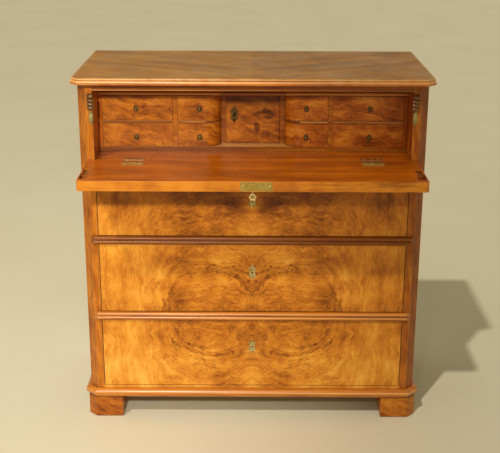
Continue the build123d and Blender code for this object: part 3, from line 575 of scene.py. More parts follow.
def small_walnut(name, flat):
    """Lively figure on the small drawers; their trays behind the flat or nosed front are pale wood. Painted
    shade darkens the gaps round each front and the corners.
    """
    f = Finish(name)
    x, y, z = wandering(f, f.x, f.y, f.z, 0.085, 8, 3)
    x, y, z = wandering(f, x, y, z, 0.016, 34, 3)
    ring = z + x * 0.22 + y * 0.5
    bands = fibres(f, ring, 52, 8)
    strokes = fibres(f, ring, 260, 28)
    mottle = f.noise((x, 0.7, z), 80, 4, 0.7)
    haze = f.noise((f.x, 0, f.z), 15, 4)
    tone = bands * 0.7 + strokes * 0.32 + mottle * 0.26 + haze * 0.6 - 0.445
    for centre, size in (
        ((0.34, 1.04), (0.09, 0.018)),
        ((0.26, 1.01), (0.07, 0.014)),
        ((0.41, 0.94), (0.1, 0.016)),
        ((-0.33, 1.046), (0.08, 0.016)),
        ((0.27, 0.93), (0.06, 0.016)),
    ):
        tone = tone + f.cloud(x, z, centre, size) * 0.16
    colour = f.mix(f.rise(f.x, -0.1, 0.25), f.ramp(tone, amber_tones), f.ramp(tone + 0.05, fiery_tones))
    spots = f.rise(f.noise((f.x, 5, f.z), 19, 3), 0.54, 0.66)
    marks = f.most(dashes(f, ring) * f.rise(haze, 0.62, 0.42, 0.1, 0.6), spots * eyes(f, x, z, 110))
    colour = f.mix(marks * 0.85, colour, "4A1D05")
    nose_y, inner_radius = 0.034, 0.0366
    deep = f.most(nose_x - abs(f.x), 0)
    back = f.most(nose_y - f.y, 0)
    from_curve = f.maths("SQRT", deep * deep + back * back)
    tray = f.rise(from_curve, inner_radius, inner_radius + 0.0002, 1, 0)
    if flat:
        tray = f.rise(f.y, gallery_y + 0.0098, gallery_y + 0.01)
    pale = f.ramp(fibres(f, box_lay(f), 160, 4), pine_tones)
    # Dark arrises: painted shade in the gaps round the fronts.
    return polish(
        f, f.mix(tray, colour, pale), ring, 0.34, wear=0.8, wear_shade="4E2208", corner_shade_and_wax=0.9, seam=0.012,
        edge_reach=0.0045,
    )


def door_walnut(name):
    """Honey-coloured burr that flows across, with a dark crinkled arch on the right and a tail under it; a
    painted shadow darkens its top under the gallery's fascia, and painted shade darkens the gaps round it.
    """
    f = Finish(name)
    x, y, z = wandering(f, f.x, f.y, f.z, 0.05, 13, 3)
    x, y, z = wandering(f, x, y, z, 0.018, 40, 4)
    a = f.x - 0.036
    arch = f.z + a * a * 9
    arch = arch + f.noise((f.x, 0.6, f.z), 45, 3) * 0.022 - 0.011
    dark = near(f, arch, 1.003, 0.013) * f.cloud(f.x, f.z, (0.036, 1), (0.052, 0.05))
    dark = f.most(dark, f.cloud(x, z, (0.046, 0.991), (0.026, 0.012)) * 0.7)
    dark = f.rise(f.most(dark, f.cloud(x, z, (0.01, 0.952), (0.014, 0.034))), 0, 0.75)
    ring = z + x * 0.35 + y * 0.5
    bands = fibres(f, ring, 60, 9)
    strokes = fibres(f, ring, 300, 34)
    mottle = f.noise((x, 0.7, z), 85, 4, 0.7)
    haze = f.noise(f.place, 20, 4)
    tone = bands * 0.5 + strokes * 0.32 + mottle * 0.3 + haze * 0.4 - 0.28
    tone = tone + f.x * -0.4 + dark * -0.2
    colour = f.ramp(tone, amber_tones)
    crinkle = f.noise((f.x * 0.7, 0.3, f.z), 120, 5, 0.65, 1.5)
    marks = near(f, crinkle, 0.5, 0.07) * dark
    marks = f.most(marks, dark * eyes(f, x, z, 130))
    marks = f.most(marks, dashes(f, ring) * 0.5)
    colour = f.mix(marks * 0.85, colour, "351403")
    # Painted shadow from the fascia over the door's top.
    fascia_shadow = f.rise(f.z + haze * 0.02, 1.015, 1.05) * 0.55
    colour = f.mix(fascia_shadow, colour, "321404")
    # Dark arrises: painted shade in the gaps round the door.
    return polish(f, colour, ring, 0.32, wear=0.8, wear_shade="4E2208", corner_shade_and_wax=0.9, seam=0.01, edge_reach=0.0045)


def gallery_walnut(name):
    """The framework of the gallery: plain wood with front edges lightened by use and by a painted highlight;
    the floor of the recess is paler wood with painted light on it, the front of the base is painted darker as
    shade, most at the left, and the gallery top is painted lighter with a painted highlight along its front.
    """
    f = Finish(name)
    ring = straight_lay(f, "x")
    tone = fibres(f, ring, 90, 3) * 0.6 + fibres(f, ring, 420, 9) * 0.4
    colour = f.ramp(tone, amber_tones)
    in_front = f.rise(f.y, recess_y, recess_y + 0.002, 1, 0)
    # Painted light on the floor of the recess.
    lit_recess_floor = f.rise(f.face_z, 0.6, 0.9) * f.rise(f.z, 0.902, 0.9, 0, 1) * in_front
    colour = f.mix(lit_recess_floor * 0.85, colour, "FFCC78")
    # Painted shade on the front of the base, strongest at the left.
    base_front_shade = f.rise(f.z, 0.8992, 0.8984) * f.rise(f.face_y, -0.9, -0.95)
    colour = f.mix(base_front_shade * f.rise(f.x, -0.1, 0.3, 0.7, 0.15), colour, "5A2608")
    # Painted light: the gallery top lighter, with a painted highlight along its front edge.
    colour = f.mix(f.rise(f.z, 1.062, 1.064) * 0.4, colour, "E8A04C")
    colour = f.mix(near(f, f.z, 1.067, 0.0035) * 0.6, colour, "FFC078")
    upright = f.rise(abs(f.x), 0.106, 0.104) * f.rise(f.z, 0.905, 0.91)
    colour = f.mix(upright * 0.5, colour, "702A0C")
    return polish(f, colour, ring, 0.3, wear=0.7, wear_shade="D8984A", corner_shade_and_wax=0.45, rounding=0.0018)


def bead_walnut(name):
    """Pale wood along the shelves, painted darker as shade where the bead goes round the noses into the
    recess.
    """
    f = Finish(name)
    ring = straight_lay(f, "x")
    streaks = fibres(f, ring, 300, 6)
    colour = f.ramp(streaks, tones("A86E30 C48A48 D8A464", (0.3, 0.5, 0.7)))
    colour = f.mix(f.rise(f.x, -0.25, -0.19, 0.8, 0), colour, "6A3410")
    # Painted shade where the bead turns into the recess.
    colour = f.mix(f.rise(abs(f.x), 0.152, 0.149) * 0.9, colour, "5A2808")
    return polish(f, colour, ring, 0.45, coat=0.03, wear=0.2, wear_shade="E8C48C", corner_shade_and_wax=0.9)


def pine(name, along):
    """Bare pale wood, dry and dull, a little dirty."""
    f = Finish(name)
    ring = box_lay(f) if along == "y" else straight_lay(f, along, 0.02, 2)
    tone = fibres(f, ring, 70, 1.5) * 0.7 + fibres(f, ring, 500, 9) * 0.3
    colour = f.ramp(tone, pine_tones)
    if along == "z":
        board = abs(f.maths("FRACT", (f.x + 0.515) * (1 / 0.206)) - 0.5)
        groove = f.rise(board, 0.488, 0.494)
        colour = f.mix(groove * 0.85, colour, "2A1A0A")
    stain = f.rise(f.noise(f.place, 5, 4), 0.45, 0.7, 0, 0.35)
    colour = f.mix(stain, colour, "8A6434")
    # Painted shade in the corners.
    colour = f.mix(f.corner_shade_and_dirt(0.02) * 0.5, colour, "4A3218")
    normal = f.bump(tone, 0.0002, 0.4, f.soft_edges(0.0006))
    return f.set(Base_Color=colour, Roughness=0.75, Normal=normal, Specular_IOR_Level=0.25)


def old_metal(
    name, shades, rough=(0.42, 0.24), hollow="241A0C", ridge_wear_and_glint="E8D9A8", metal=1, patina=False,
    places=(0.3, 0.5, 0.7),
):
    """Cast metal, brown in its hollows and bright on its ridges, where it is rubbed and carries a painted
    highlight. A patina is brown along the hinge line.
    """
    f = Finish(name)
    stain = f.noise(f.place, 160, 4, 0.6)
    large = f.noise(f.place, 40, 2)
    colour = f.ramp(stain * 0.6 + large * 0.4, tones(shades, places))
    colour = f.mix(f.corner_shade_and_dirt(0.002) * 0.8, colour, hollow)
    # Rubbed ridges with a painted highlight on them.
    colour = f.mix(f.arris_mask(0.0008) * 0.7, colour, ridge_wear_and_glint)
    if patina:
        colour = f.mix(f.rise(f.y, -0.162, -0.148) * 0.8, colour, "7E3E10")
    dull = f.rise(stain, 0.3, 0.7, *rough)
    normal = f.bump(stain, 0.0001, 0.4, f.soft_edges(0.0003))
    return f.set(Base_Color=colour, Metallic=metal, Roughness=dull, Normal=normal)


def make_finishes():
    """Every material by its name."""
    made = [
        top_walnut("top_veneer"),
        straight_walnut("carcase_veneer", "z", side_tones, wander=0.04, scale=2.5, coarse=36, flame=0.1),
        post_walnut("post_veneer"),
        foot_walnut("foot_veneer"),
        frieze_walnut("frieze_veneer"),
        moulding_walnut("moulding_wood"),
        gallery_walnut("gallery_wood"),
        burr_walnut("drawer_veneer"),
        small_walnut("small_drawer_veneer", True),
        small_walnut("nosed_drawer_veneer", False),
        door_walnut("door_veneer"),
        straight_walnut("lining_wood", "z", fiery_tones, coat=0.1, coarse=50),
        bead_walnut("bead_wood"),
        # Wide reach: painted shade where the writing floor meets the gallery.
        straight_walnut("inner_veneer", "x", red_tones, 0.26, 0.12, coarse=40, seam=0.04),
        flap_walnut("flap_veneer"),
        pine("secondary_wood", "y"),
        pine("back_wood", "z"),
        # Pale arrises on the corbels' reeds: use marks with a painted highlight.
        straight_walnut(
            "dark_mount", "z", dark_tones, 0.26, 0.4, coarse=200, wear=0.7, wear_shade="A89478"
        ),
        old_metal("brass", "8E7640 C6A868 E2CA92", (0.46, 0.28), ridge_wear_and_glint="FFF0C8", metal=0.9),
        old_metal(
            "mount_brass", "6A5420 BA9C50 F0DA98", (0.4, 0.26), "1C1406", "FFF6D0", 0.8,
            places=(0.3, 0.46, 0.6),
        ),
        old_metal(
            "hinge_brass", "86702C BE9E4C E0C47C", (0.5, 0.34), ridge_wear_and_glint="FFECB0", metal=0.5, patina=True
        ),
        old_metal("lock_brass", "8C7230 B4984A D0B468", (0.5, 0.34), metal=0.8),
        old_metal("dark_brass", "2C2212 4A3A1E 6E5830", (0.34, 0.2), ridge_wear_and_glint="D8C08A"),
        old_metal("key_metal", "D0B070 E8CE90 F4E2B4", (0.4, 0.26), "5A4420", "FFF2CC", 0.7),
        old_metal("knob_metal", "4A3A1E 705A32 967C4C", hollow="180F06", ridge_wear_and_glint="D0BC8C"),
        old_metal("leaf_metal", "7A7040 B0A068 D6C890", (0.5, 0.34), "262210", "F6F0D0", 0.7),
        old_metal("iron", "2A2724 3E3A36 57524C", (0.6, 0.4), "14110E", "8A857E"),
    ]
    # The CAD's own materials hold some of these names, and Blender then adds a number to the new one.
    return {material.name.split(".")[0]: material for material in made}


# Nodes that are dressed in something nearer than their record slot says
nearer = {
    "frieze_veneer": "frieze_rail",
    "foot_veneer": "feet",
    "hinge_brass": "hinge_leaves_fixed hinge_leaves_moving",
    "lock_brass": "flap_lock_case flap_bolt",
    "moulding_wood": "drawer_rails",
    "drawer_veneer": "bottom_board",
    "gallery_wood": "gallery_base gallery_top gallery_fascia gallery_dividers gallery_shelves",
    "lining_wood": "gallery_cheeks compartment_linings",
    "back_wood": "back_panel",
}


def dress_nodes(finishes):
    """Gives every CAD node its finish: the one of its record slot, or a nearer one."""
    dressed = {name: finish for finish, names in nearer.items() for name in names.split()}
    for entry in frame["record"]["subparts"]:
        name = entry["node"]
        finish = dressed.get(name, entry["material_slot"])
        if "_inner_" in name and name.endswith("_drawer"):
            finish = "nosed_drawer_veneer"
        materials = nodes[name].data.materials
        materials.clear()
        materials.append(finishes[finish])


# Ways of making
def as_piece(name, mesh, finish, body, stands_for=()):
    """A mesh, or a bmesh that is closed first, becomes a piece that rides on its body."""
    if isinstance(mesh, bmesh.types.BMesh):
        mesh = closed(mesh, name)
    mesh.materials.clear()
    mesh.materials.append(finish)
    piece = new_object(name, mesh)
    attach(piece, body)
    if stands_for:
        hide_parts(*stands_for)
    return piece


def closed(bm, name):
    """The bmesh as a mesh: doubles merged, faces outwards, rounds smooth and corners sharp."""
    bmesh.ops.remove_doubles(bm, verts=bm.verts, dist=1e-6)
    bmesh.ops.recalc_face_normals(bm, faces=bm.faces)
    for face in bm.faces:
        face.smooth = True
    for edge in bm.edges:
        edge.smooth = len(edge.link_faces) == 2 and edge.calc_face_angle(0) < radians(40)
    mesh = bpy.data.meshes.new(name)
    bm.to_mesh(mesh)
    bm.free()
    return mesh


def shaped(holder):
    """The mesh that the holder's curve or modifier makes. The holder goes."""
    bpy.context.view_layer.update()
    graph = bpy.context.evaluated_depsgraph_get()
    mesh = bpy.data.meshes.new_from_object(holder.evaluated_get(graph))
    bpy.data.objects.remove(holder)
    return mesh


def around(count):
    """Angles all the way round."""
    return [2 * pi * i / count for i in range(count)]


def skin(bm, rows, ring=True):
    """Adds faces between each row of points and the next. A row of one point is a pole."""
    for low, high in zip(rows, rows[1:]):
        count = max(len(low), len(high))
        for i in range(count if ring else count - 1):
            j = (i + 1) % count
            corners = low[i % len(low)], low[j % len(low)], high[j % len(high)], high[i % len(high)]
            bm.faces.new(list(dict.fromkeys(corners)))


def cap(bm, rows):
    bm.faces.new(rows[0])
    bm.faces.new(rows[-1])


def box(bm, size, centre):
    corners = bmesh.ops.create_cube(bm, size=1)["verts"]
    bmesh.ops.scale(bm, vec=size, verts=corners)
    bmesh.ops.translate(bm, vec=centre, verts=corners)


def turned(bm, profile, place, spokes):
    """Adds a shape turned on a lathe: profile is (radius, height), place takes it where it goes."""
    rows = []
    for radius, height in profile:
        spots = [Vector((radius * cos(a), radius * sin(a), height)) for a in around(spokes if radius else 1)]
        rows.append([bm.verts.new(place @ spot) for spot in spots])
    skin(bm, rows)


def rod(bm, points, radius, sides, place=Matrix(), closed_path=False, taper=None):
    """Adds a round bar along points, with its ends closed, or a ring if the path is closed."""
    count = len(points)
    rows = []
    for i, point in enumerate(points):
        before = points[i - 1] if i or closed_path else points[0]
        after = points[(i + 1) % count] if i + 1 < count or closed_path else points[-1]
        along = (after - before).normalized()
        side = along.cross(Vector((0, 0, 1)))
        side = side.normalized() if side.length > 1e-6 else Vector((1, 0, 0))
        rise = side.cross(along)
        width = radius * (taper(i / (count - 1)) if taper else 1)
        spots = [point + (side * cos(a) + rise * sin(a)) * width for a in around(sides)]
        rows.append([bm.verts.new(place @ spot) for spot in spots])
    skin(bm, rows + rows[:1] if closed_path else rows)
    if not closed_path:
        cap(bm, rows)


def cut_plate(outline, holes, thickness, round_over):
    """A plate cut from sheet, with softened edges, as a mesh that lies on Z 0."""
    curve = bpy.data.curves.new("plate", "CURVE")
    curve.dimensions = "2D"
    curve.fill_mode = "BOTH"
    curve.extrude = thickness / 2 - round_over
    curve.bevel_depth = round_over
    curve.bevel_resolution = 2
    curve.offset = -round_over
    for loop in [outline] + holes:
        spline = curve.splines.new("POLY")
        spline.points.add(len(loop) - 1)
        for spot, (x, y) in zip(spline.points, loop):
            spot.co = (x, y, 0, 1)
        spline.use_cyclic_u = True
    mesh = shaped(new_object("plate", curve))
    mesh.transform(Matrix.Translation((0, 0, thickness / 2)))
    return mesh


def facing_front(x, y, z):
    """Takes a shape from the XY plane onto a front face: up stays up, and it stands out to the front."""
    return Matrix.Translation((x, y, z)) @ Matrix.Rotation(pi / 2, 4, "X")


def facing_down(x, y, z):
    """The same onto an underside."""
    return Matrix.Translation((x, y, z)) @ Matrix.Rotation(pi, 4, "X")


# Escutcheons
def cartouche_outline():
    """A scrolled plate: finials at its ends, pairs of lobes, and a waist. The points are in millimetres."""
    upper = [
        (0, 27.6), (1.3, 26.4), (1.9, 24.6), (1.2, 22.6), (2.4, 21.6), (4.4, 20.6), (4.7, 18.2), (3.8, 16.4),
        (5.6, 16.6), (9.4, 15.8), (12, 13.4), (12.8, 10.6), (11.6, 7.6), (9.2, 6.2), (8.6, 4.4), (8.9, 2),
    ]
    right = upper + [(x, -y) for x, y in reversed(upper)]
    left = [(-x, y) for x, y in reversed(right[1:-1])]
    return [(x / 1000, y / 1000) for x, y in smooth_loop(right + left, 3)]


def smooth_loop(loop, steps):
    """More points between the given ones, on a smooth closed curve through them."""
    result = []
    count = len(loop)
    for i in range(count):
        before, start, end, after = (loop[(i + k) % count] for k in (-1, 0, 1, 2))
        for s in range(steps):
            t = s / steps
            spot = []
            for a, b, c, d in zip(before, start, end, after):
                curve = 2 * b + (c - a) * t + (2 * a - 5 * b + 4 * c - d) * t * t
                spot.append((curve + (3 * b - a - 3 * c + d) * t**3) / 2)
            result.append(tuple(spot))
    return result


def round_loop(x, y, radius):
    return [(x + radius * cos(a), y + radius * sin(a)) for a in around(14)]


def keyhole_loop():
    """A round eye over a slot."""
    eye = [(0.0026 * sin(a), 0.0026 * cos(a)) for a in (radians(20 * i - 154) for i in range(17))]
    return [(-0.0011, -0.008), *eye, (0.0011, -0.008)]


def curl(mirror, flip):
    """A curl that winds in towards its middle, just over the plate."""
    across, up, radius, turns, steps = 0.0074, 0.0108, 0.0047, 1.1, 25
    points = []
    for i in range(steps + 1):
        t = i / steps
        a = -0.6 * pi + turns * 2 * pi * t
        reach = radius * (1 - 0.72 * t)
        points.append(Vector((mirror * (across + reach * cos(a)), flip * (up + reach * sin(a)), 0.0017)))
    return points


stem_points = [
    (0.0068, 0.001), (0.0072, 0.0035), (0.0062, 0.0058), (0.0044, 0.0076), (0.0038, 0.0108),
    (0.0028, 0.0142), (0.001, 0.0158),
]


def escutcheon(name, place, body, finish, stands_for):
    """A pierced and scrolled plate with raised curls, a rimmed keyhole and two pins."""
    thickness = 0.0016
    holes = [round_loop(sx * 0.0076, sz * 0.011, 0.0017) for sx in (-1, 1) for sz in (-1, 1)]
    holes += [round_loop(0, sz * 0.0185, 0.0016) for sz in (-1, 1)]
    plate = cut_plate(cartouche_outline(), holes + [keyhole_loop()], thickness, 0.00035)
    bm = bmesh.new()
    bm.from_mesh(plate)
    bpy.data.meshes.remove(plate)
    for mirror in (-1, 1):
        for flip in (-1, 1):
            rod(bm, curl(mirror, flip), 0.00075, 6, taper=lambda t: 1.1 - 0.5 * t)
            stem = [Vector((mirror * x, flip * y, thickness)) for x, y in stem_points]
            rod(bm, stem, 0.0007, 6, taper=lambda t: 1 - 0.5 * abs(2 * t - 1))
    rim = [(0.0034 * sin(a), 0.0034 * cos(a)) for a in (radians(12 * i - 150) for i in range(26))]
    rim = [(-0.0021, -0.0088), *rim, (0.0021, -0.0088)]
    rod(bm, [Vector((*spot, thickness)) for spot in rim], 0.0007, 6, closed_path=True)
    for flip in (-1, 1):
        pin = [(0, 0.0024), (0.0008, 0.0022), (0.0013, 0.0016), (0.0013, 0.0008)]
        turned(bm, pin, Matrix.Translation((0, flip * 0.0247, 0)), 12)
    bm.transform(place)
    return as_piece(name, bm, finish, body, stands_for)


def lock_case(name, z, body, finish):
    """The lock case behind a long drawer's front, with a screw in each corner."""
    bm = bmesh.new()
    front, depth = front_y + 0.0222, 0.01
    box(bm, (0.058, depth, 0.04), (0, front + depth / 2, z))
    bmesh.ops.bevel(bm, geom=list(bm.edges), offset=0.0007, segments=2, affect="EDGES")
    for x in (-0.024, 0.024):
        for rise in (-0.015, 0.015):
            spot = Matrix.Translation((x, front + 0.0098, z + rise)) @ Matrix.Rotation(-pi / 2, 4, "X")
            turned(bm, [(0, 0.0009), (0.0016, 0.0008), (0.0024, 0), (0, -0.0002)], spot, 14)
    return as_piece(name, bm, finish, body)


# Key
def key(finish):
    """A flat ring bow on a turned shank with two collars; its bit stands inside the lock."""
    bm = bmesh.new()
    bow = [Vector((0.0082 * cos(a), 0.0085 * sin(a), 0)) for a in around(40)]
    rod(bm, bow, 0.0027, 12, facing_front(0, key_y, 0.827), closed_path=True)
    profile = [
        (0, 0.8343), (0.002, 0.8346), (0.0028, 0.8362), (0.003, 0.8378), (0.0022, 0.8392),
        (0.0019, 0.8402), (0.0034, 0.8412), (0.004, 0.8424), (0.0038, 0.8436), (0.0028, 0.8446),
        (0.0022, 0.8456), (0.0036, 0.8468), (0.0038, 0.8482), (0.0024, 0.8496), (0.0023, 0.85),
        (0.0023, 0.866), (0.0015, 0.8668), (0, 0.867),
    ]
    turned(bm, profile, Matrix.Translation((0, key_y, 0)), 20)
    box(bm, (0.002, 0.0062, 0.005), (0, key_y + 0.005, 0.8644))
    return as_piece("key", bm, finish, "key", ["flap_key"])


# Knobs of the small drawers
def oval_rose(bm, place):
    """An oval plate that swells to its middle, with a beaded rim."""
    half_width, half_height = 0.0074, 0.011
    profile = ((1, 0), (1, 0.0007), (0.95, 0.0011), (0.86, 0.0008), (0.6, 0.0013), (0.3, 0.0018))
    rows = []
    for share, height in profile:
        wide, tall = half_width * share, half_height * share
        spots = [Vector((wide * cos(a), tall * sin(a), height)) for a in around(40)]
        rows.append([bm.verts.new(place @ spot) for spot in spots])
    skin(bm, rows)
    cap(bm, rows)
    for a in around(22):
        bead = Matrix.Translation((0.0069 * cos(a), 0.0104 * sin(a), 0.0006))
        turned(bm, [(0, 0.0009), (0.0005, 0.0006), (0.0006, 0)], place @ bead, 6)


def knob(row, column, side, finish):
    """A turned knob with a ringed neck and a button in its face, on its rose."""
    name = f"{row}_{column}_{side}_knob"
    low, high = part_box(name)
    place = facing_front((low[0] + high[0]) / 2, gallery_y, (low[2] + high[2]) / 2)
    bm = bmesh.new()
    oval_rose(bm, place)
    profile = [
        (0, 0.0005), (0.0036, 0.001), (0.0034, 0.0022), (0.0024, 0.003), (0.0021, 0.0044), (0.0024, 0.0054),
        (0.0034, 0.006), (0.0036, 0.0065), (0.0033, 0.007), (0.0046, 0.0078), (0.0055, 0.009), (0.0056, 0.01),
        (0.0051, 0.0112), (0.0039, 0.0119), (0.0026, 0.012), (0.0022, 0.0117), (0.0018, 0.0122),
        (0.001, 0.0128), (0, 0.013),
    ]
    turned(bm, profile, place, 26)
    return as_piece(name + "_turned", bm, finish, f"{row}_{column}_{side}", [name])


# Beads on the gallery shelves
def shelf_bead(side, sign, finish):
    """A thin half-round along the shelf's front edge, which follows the hollow of the nose."""
    bm = bmesh.new()
    height, front, thickness = 0.979, gallery_y + 0.0006, 0.0027
    outer = [Vector((sign * x, front, height)) for x in (0.477, 0.2545)]
    rod(bm, outer, thickness, 12)
    nose = [Vector((sign * x, front, height)) for x in (0.2385, nose_x)]
    radius = recess_y - 0.0006 - front
    for i in range(1, 15):
        a = radians(6 * i)
        nose.append(Vector((sign * (nose_x - radius * sin(a)), front + radius * (1 - cos(a)), height)))
    rod(bm, nose, thickness, 12)
    return as_piece(f"shelf_bead_{side}", bm, finish, "carcase")


# Corbels
def corbel_profile():
    """The side view: a scroll over three reeds, from the post outwards. Distances are (out, up)."""
    plate, scroll, reed = 0.004, 0.008, 0.0054
    top = 1.092
    points = [(0, top - 0.001), (plate, top)]
    for i in range(13):
        a = radians(90 - 15 * i)
        points.append((plate + scroll * cos(a), top - scroll + scroll * sin(a)))
    first = top - 2 * scroll - reed
    for k in range(3):
        centre = first - k * 0.0116
        for i in range(11):
            a = radians(80 - 16 * i)
            points.append((plate + reed * cos(a), centre + reed * sin(a)))
    return points + [(plate, first - 0.0286), (0, first - 0.0286)]


def corbel(side, sign, finish):
    """A reeded bracket with a spiral on each cheek."""
    bm = bmesh.new()
    profile = corbel_profile()
    inner, outer = 0.486, 0.5045
    rows = []
    for x, shrink in ((inner, 0.0006), (inner + 0.0008, 0), (outer - 0.0008, 0), (outer, 0.0006)):
        rows.append([bm.verts.new((sign * x, front_y - max(0, out - shrink), up)) for out, up in profile])
    skin(bm, rows)
    cap(bm, rows)
    for cheek in (inner + 0.0002, outer - 0.0002):
        spiral = []
        for i in range(44):
            t = i / 43
            a = radians(100) - 2.4 * 2 * pi * t
            reach = 0.007 * (1 - 0.85 * t)
            spiral.append(Vector((sign * cheek, front_y - 0.004 - reach * cos(a), 1.084 + reach * sin(a))))
        rod(bm, spiral, 0.00055, 6)
    return as_piece(f"corbel_{side}", bm, finish, "carcase")


def leaf_drop(side, sign, finish):
    """A pointed brass leaf with a raised rib and slanting veins."""
    bm = bmesh.new()
    top, length, half_width, swell = 1.0415, 0.048, 0.0075, 0.0048
    long_steps, cross_steps = 44, 20
    rows = []
    for i in range(long_steps + 1):
        s = i / long_steps
        arc = sin(pi * s)
        width = half_width * arc**0.75
        row = []
        for k in range(cross_steps + 1):
            t = 2 * k / cross_steps - 1
            body = swell * arc**0.6 * (1 - 0.8 * t * t)
            rib = 0.0009 * max(0, 1 - abs(t) * 6) * arc
            crease = 0.00035 * sin(2 * pi * (9 * s + 1.6 * abs(t))) * min(1, 4 * abs(t)) * arc
            height = max(0, body + rib + crease) if abs(t) < 1 else 0
            row.append(bm.verts.new((sign * corbel_x + width * t, front_y - height, top - length * s)))
        rows.append(row)
    skin(bm, rows, ring=False)
    bmesh.ops.remove_doubles(bm, verts=bm.verts, dist=1e-6)
    back = bmesh.ops.holes_fill(bm, edges=[e for e in bm.edges if e.is_boundary])
    bmesh.ops.triangulate(bm, faces=back["faces"])
    stud = [(0, 0.0016), (0.0008, 0.0014), (0.0013, 0.0006), (0.0013, -0.001), (0, -0.001)]
    turned(bm, stud, facing_front(sign * corbel_x, front_y - 0.0042, 1.035), 12)
    return as_piece(f"leaf_drop_{side}", bm, finish, "carcase")


# Screws, set out by Geometry Nodes
def screw_head():
    """A countersunk head: a low dome with a slot across it."""
    bm = bmesh.new()
    radius, dome, slot, rings = 0.0032, 0.0009, 0.0007, 5
    rows = [[bm.verts.new((0, 0, dome - slot))]]
    for i in range(1, rings + 1):
        reach = radius * i / rings
        row = []
        for a in around(24):
            x, y = reach * cos(a), reach * sin(a)
            in_slot = abs(y) < radius * 0.22
            height = dome * (1 - (reach / radius) ** 2) - (slot if in_slot else 0)
            row.append(bm.verts.new((x, y, height)))
        rows.append(row)
    rows.append([bm.verts.new((v.co.x, v.co.y, -dome)) for v in rows[-1]])
    skin(bm, rows)
    bm.faces.new(rows[-1])
    return new_object("screw_head", closed(bm, "screw_head"))


def scatter_tree(head):
    """A tree that sets one head on each point, along the point's direction, each turned by chance."""
    t = Tree(bpy.data.node_groups.new("set_heads", "GeometryNodeTree"))
    for label, kind in (("Points", "Geometry"), ("Size", "Float"), ("Metal", "Material")):
        t.tree.interface.new_socket(label, in_out="INPUT", socket_type="NodeSocket" + kind)
    t.tree.interface.new_socket("Heads", in_out="OUTPUT", socket_type="NodeSocketGeometry")
    start = t.add("NodeGroupInput").outputs
    shape = t.add("GeometryNodeObjectInfo", {"Object": head}).outputs["Geometry"]
    facing = t.add("GeometryNodeInputNamedAttribute", {"Name": "facing"}, data_type="FLOAT_VECTOR")
    align = t.add("FunctionNodeAlignRotationToVector", {"Vector": facing.outputs["Attribute"]}, axis="Z")
    chance = t.add("FunctionNodeRandomValue", {"Seed": 7, 3: 6.28})
    spin = t.add("FunctionNodeAxisAngleToRotation", {"Angle": chance.outputs[1]})
    turns = {"Rotation": align.outputs["Rotation"], "Rotate By": spin.outputs["Rotation"]}
    turn = t.add("FunctionNodeRotateRotation", turns, rotation_space="LOCAL").outputs["Rotation"]
    places = {"Points": start["Points"], "Instance": shape, "Rotation": turn, "Scale": start["Size"]}
    heads = t.add("GeometryNodeInstanceOnPoints", places).outputs["Instances"]
    real = t.add("GeometryNodeRealizeInstances", {"Geometry": heads}).outputs["Geometry"]
    paint = t.add("GeometryNodeSetMaterial", {"Geometry": real, "Material": start["Metal"]})
    t.add("NodeGroupOutput", {"Heads": paint.outputs["Geometry"]})
    return t.tree


def set_heads(name, tree, facing, spots, size, finish, body):
    """Sets heads of one size on the spots, all facing the same way."""
    mesh = bpy.data.meshes.new(name)
    mesh.from_pydata(spots, [], [])
    way = mesh.attributes.new("facing", "FLOAT_VECTOR", "POINT")
    for point in way.data:
        point.vector = facing
    holder = new_object(name, mesh)
    maker = holder.modifiers.new("heads", "NODES")
    maker.node_group = tree
    values = {"Size": size, "Metal": finish}
    for item in tree.interface.items_tree:
        if item.in_out == "INPUT" and item.name in values:
            maker[item.identifier] = values[item.name]
    return as_piece(name, shaped(holder), finish, body)


def fit_screws(finishes):
    """Screws in the hinges, the selvedge of the flap's lock, and the back."""
    head = screw_head()
    tree = scatter_tree(head)
    leaf_top = writing_height + 0.0002
    across = [(centre + x, x == 0) for centre in (-hinge_x, hinge_x) for x in (-0.022, 0, 0.022)]
    on_flap = [(x, -0.16 if middle else -0.176, leaf_top) for x, middle in across]
    on_floor = [(x, -0.118 if middle else -0.112, leaf_top) for x, middle in across]
    up, front, back = (0, 0, 1), (0, -1, 0), (0, 1, 0)
    key_metal = finishes["key_metal"]
    set_heads("hinge_screws_flap", tree, up, on_flap, 1, key_metal, "flap")
    set_heads("hinge_screws_floor", tree, up, on_floor, 1, key_metal, "carcase")
    end = 0.3646
    selvedge = [(x, -end, 0.868) for x in (-0.028, 0.05)]
    set_heads("selvedge_screws", tree, front, selvedge, 1, finishes["brass"], "flap")
    rows = [(-0.49 + 0.098 * i, end, z) for z in (0.085, 1.111) for i in range(11)]
    rows += [(x, end, 0.19 + 0.12 * i) for x in (-0.503, 0.503) for i in range(8)]
    set_heads("back_screws", tree, back, rows, 1.2, finishes["iron"], "carcase")
    bpy.data.objects.remove(head)


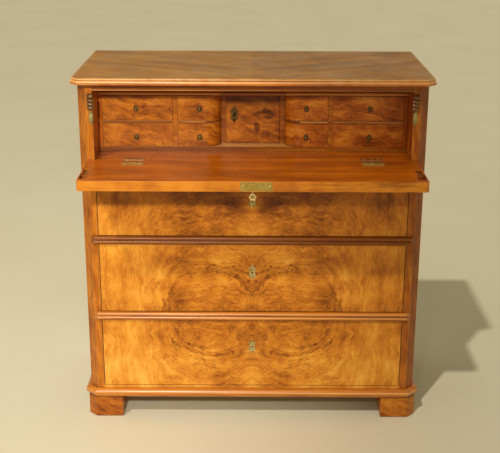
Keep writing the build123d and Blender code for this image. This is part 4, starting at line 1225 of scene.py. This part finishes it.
def fit_metalwork(finishes):
    """All brass and dark mounts that stand for their plain CAD nodes, and the beads on the shelves."""
    brass, mount_brass = finishes["brass"], finishes["mount_brass"]
    for number, z in ((1, 0.75472), (2, 0.51447), (3, 0.2542)):
        body = f"drawer_{number}"
        place = facing_front(0, front_y, z)
        escutcheon(body + "_escutcheon", place, body, mount_brass, [body + "_lock"])
        lock_case(body + "_lock_case", z, body, brass)
    escutcheon("flap_keyhole_plate", facing_down(0, key_y, 0.852), "flap", brass, ["flap_escutcheon"])
    low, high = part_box("door_escutcheon")
    place = facing_front((low[0] + high[0]) / 2, recess_y, (low[2] + high[2]) / 2)
    escutcheon("door_keyhole_plate", place, "door", finishes["dark_brass"], ["door_escutcheon"])
    key(finishes["key_metal"])
    for row in ("upper", "lower"):
        for column in ("outer", "inner"):
            for side in ("left", "right"):
                knob(row, column, side, finishes["knob_metal"])
    for side, sign in (("left", -1), ("right", 1)):
        bracket = corbel(side, sign, finishes["dark_mount"])
        leaf = leaf_drop(side, sign, finishes["leaf_metal"])
        if side == "left":
            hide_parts("corbel_scrolls")
            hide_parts("corbel_drops")
        shelf_bead(side, sign, finishes["bead_wood"])
    fit_screws(finishes)


# Floor and light
def lay_floor():
    """A plain pale floor."""
    mesh = bpy.data.meshes.new("floor")
    half = 40
    corners = [(-half, -half, 0), (half, -half, 0), (half, half, 0), (-half, half, 0)]
    mesh.from_pydata(corners, [], [(0, 1, 2, 3)])
    floor = new_object("floor", mesh)
    f = Finish("pale_floor")
    shade = f.noise(f.place, 1.5, 3)
    colour = f.ramp(shade, [(0.3, "D6D4C0"), (0.7, "DCDAC8")])
    mesh.materials.append(f.set(Base_Color=colour, Roughness=0.7))


def hang_lamp(name, kind, place, aim, strength, softness):
    """A soft lamp that faces the given point; softness is a radius, or an angle for a sun."""
    light = bpy.data.lights.new(name, kind)
    light.energy = strength
    light.color = linear("FFF2DE")[:3]
    if kind == "SUN":
        light.angle = softness
    else:
        light.shadow_soft_size = softness
    lamp = new_object(name, light)
    lamp.location = place
    lamp.rotation_euler = (Vector(aim) - Vector(place)).to_track_quat("-Z", "Y").to_euler()
    return light


def light_room():
    """A steep sun-like lamp, a low one to the left, and a pale warm room."""
    world = bpy.data.worlds.new("pale_room")
    bpy.context.scene.world = world
    world.use_nodes = True
    colour, strength = world.node_tree.nodes["Background"].inputs[:2]
    colour.default_value = linear("E8D8B2")
    strength.default_value = 0.5
    hang_lamp("steep", "SUN", (-1, -2.2, 3.597), (0, -0.3645, 0.852), 1.45, 0.03)
    low = hang_lamp("low", "SPOT", (-0.55, -3.9, 2.62), (-0.95, -0.13, 0.6), 620, 0.13)
    low.spot_size = radians(42)
    low.spot_blend = 1


set_camera()
finishes = make_finishes()
dress_nodes(finishes)
fit_metalwork(finishes)
lay_floor()
light_room()
bpy.context.scene.view_settings.view_transform = "Standard"
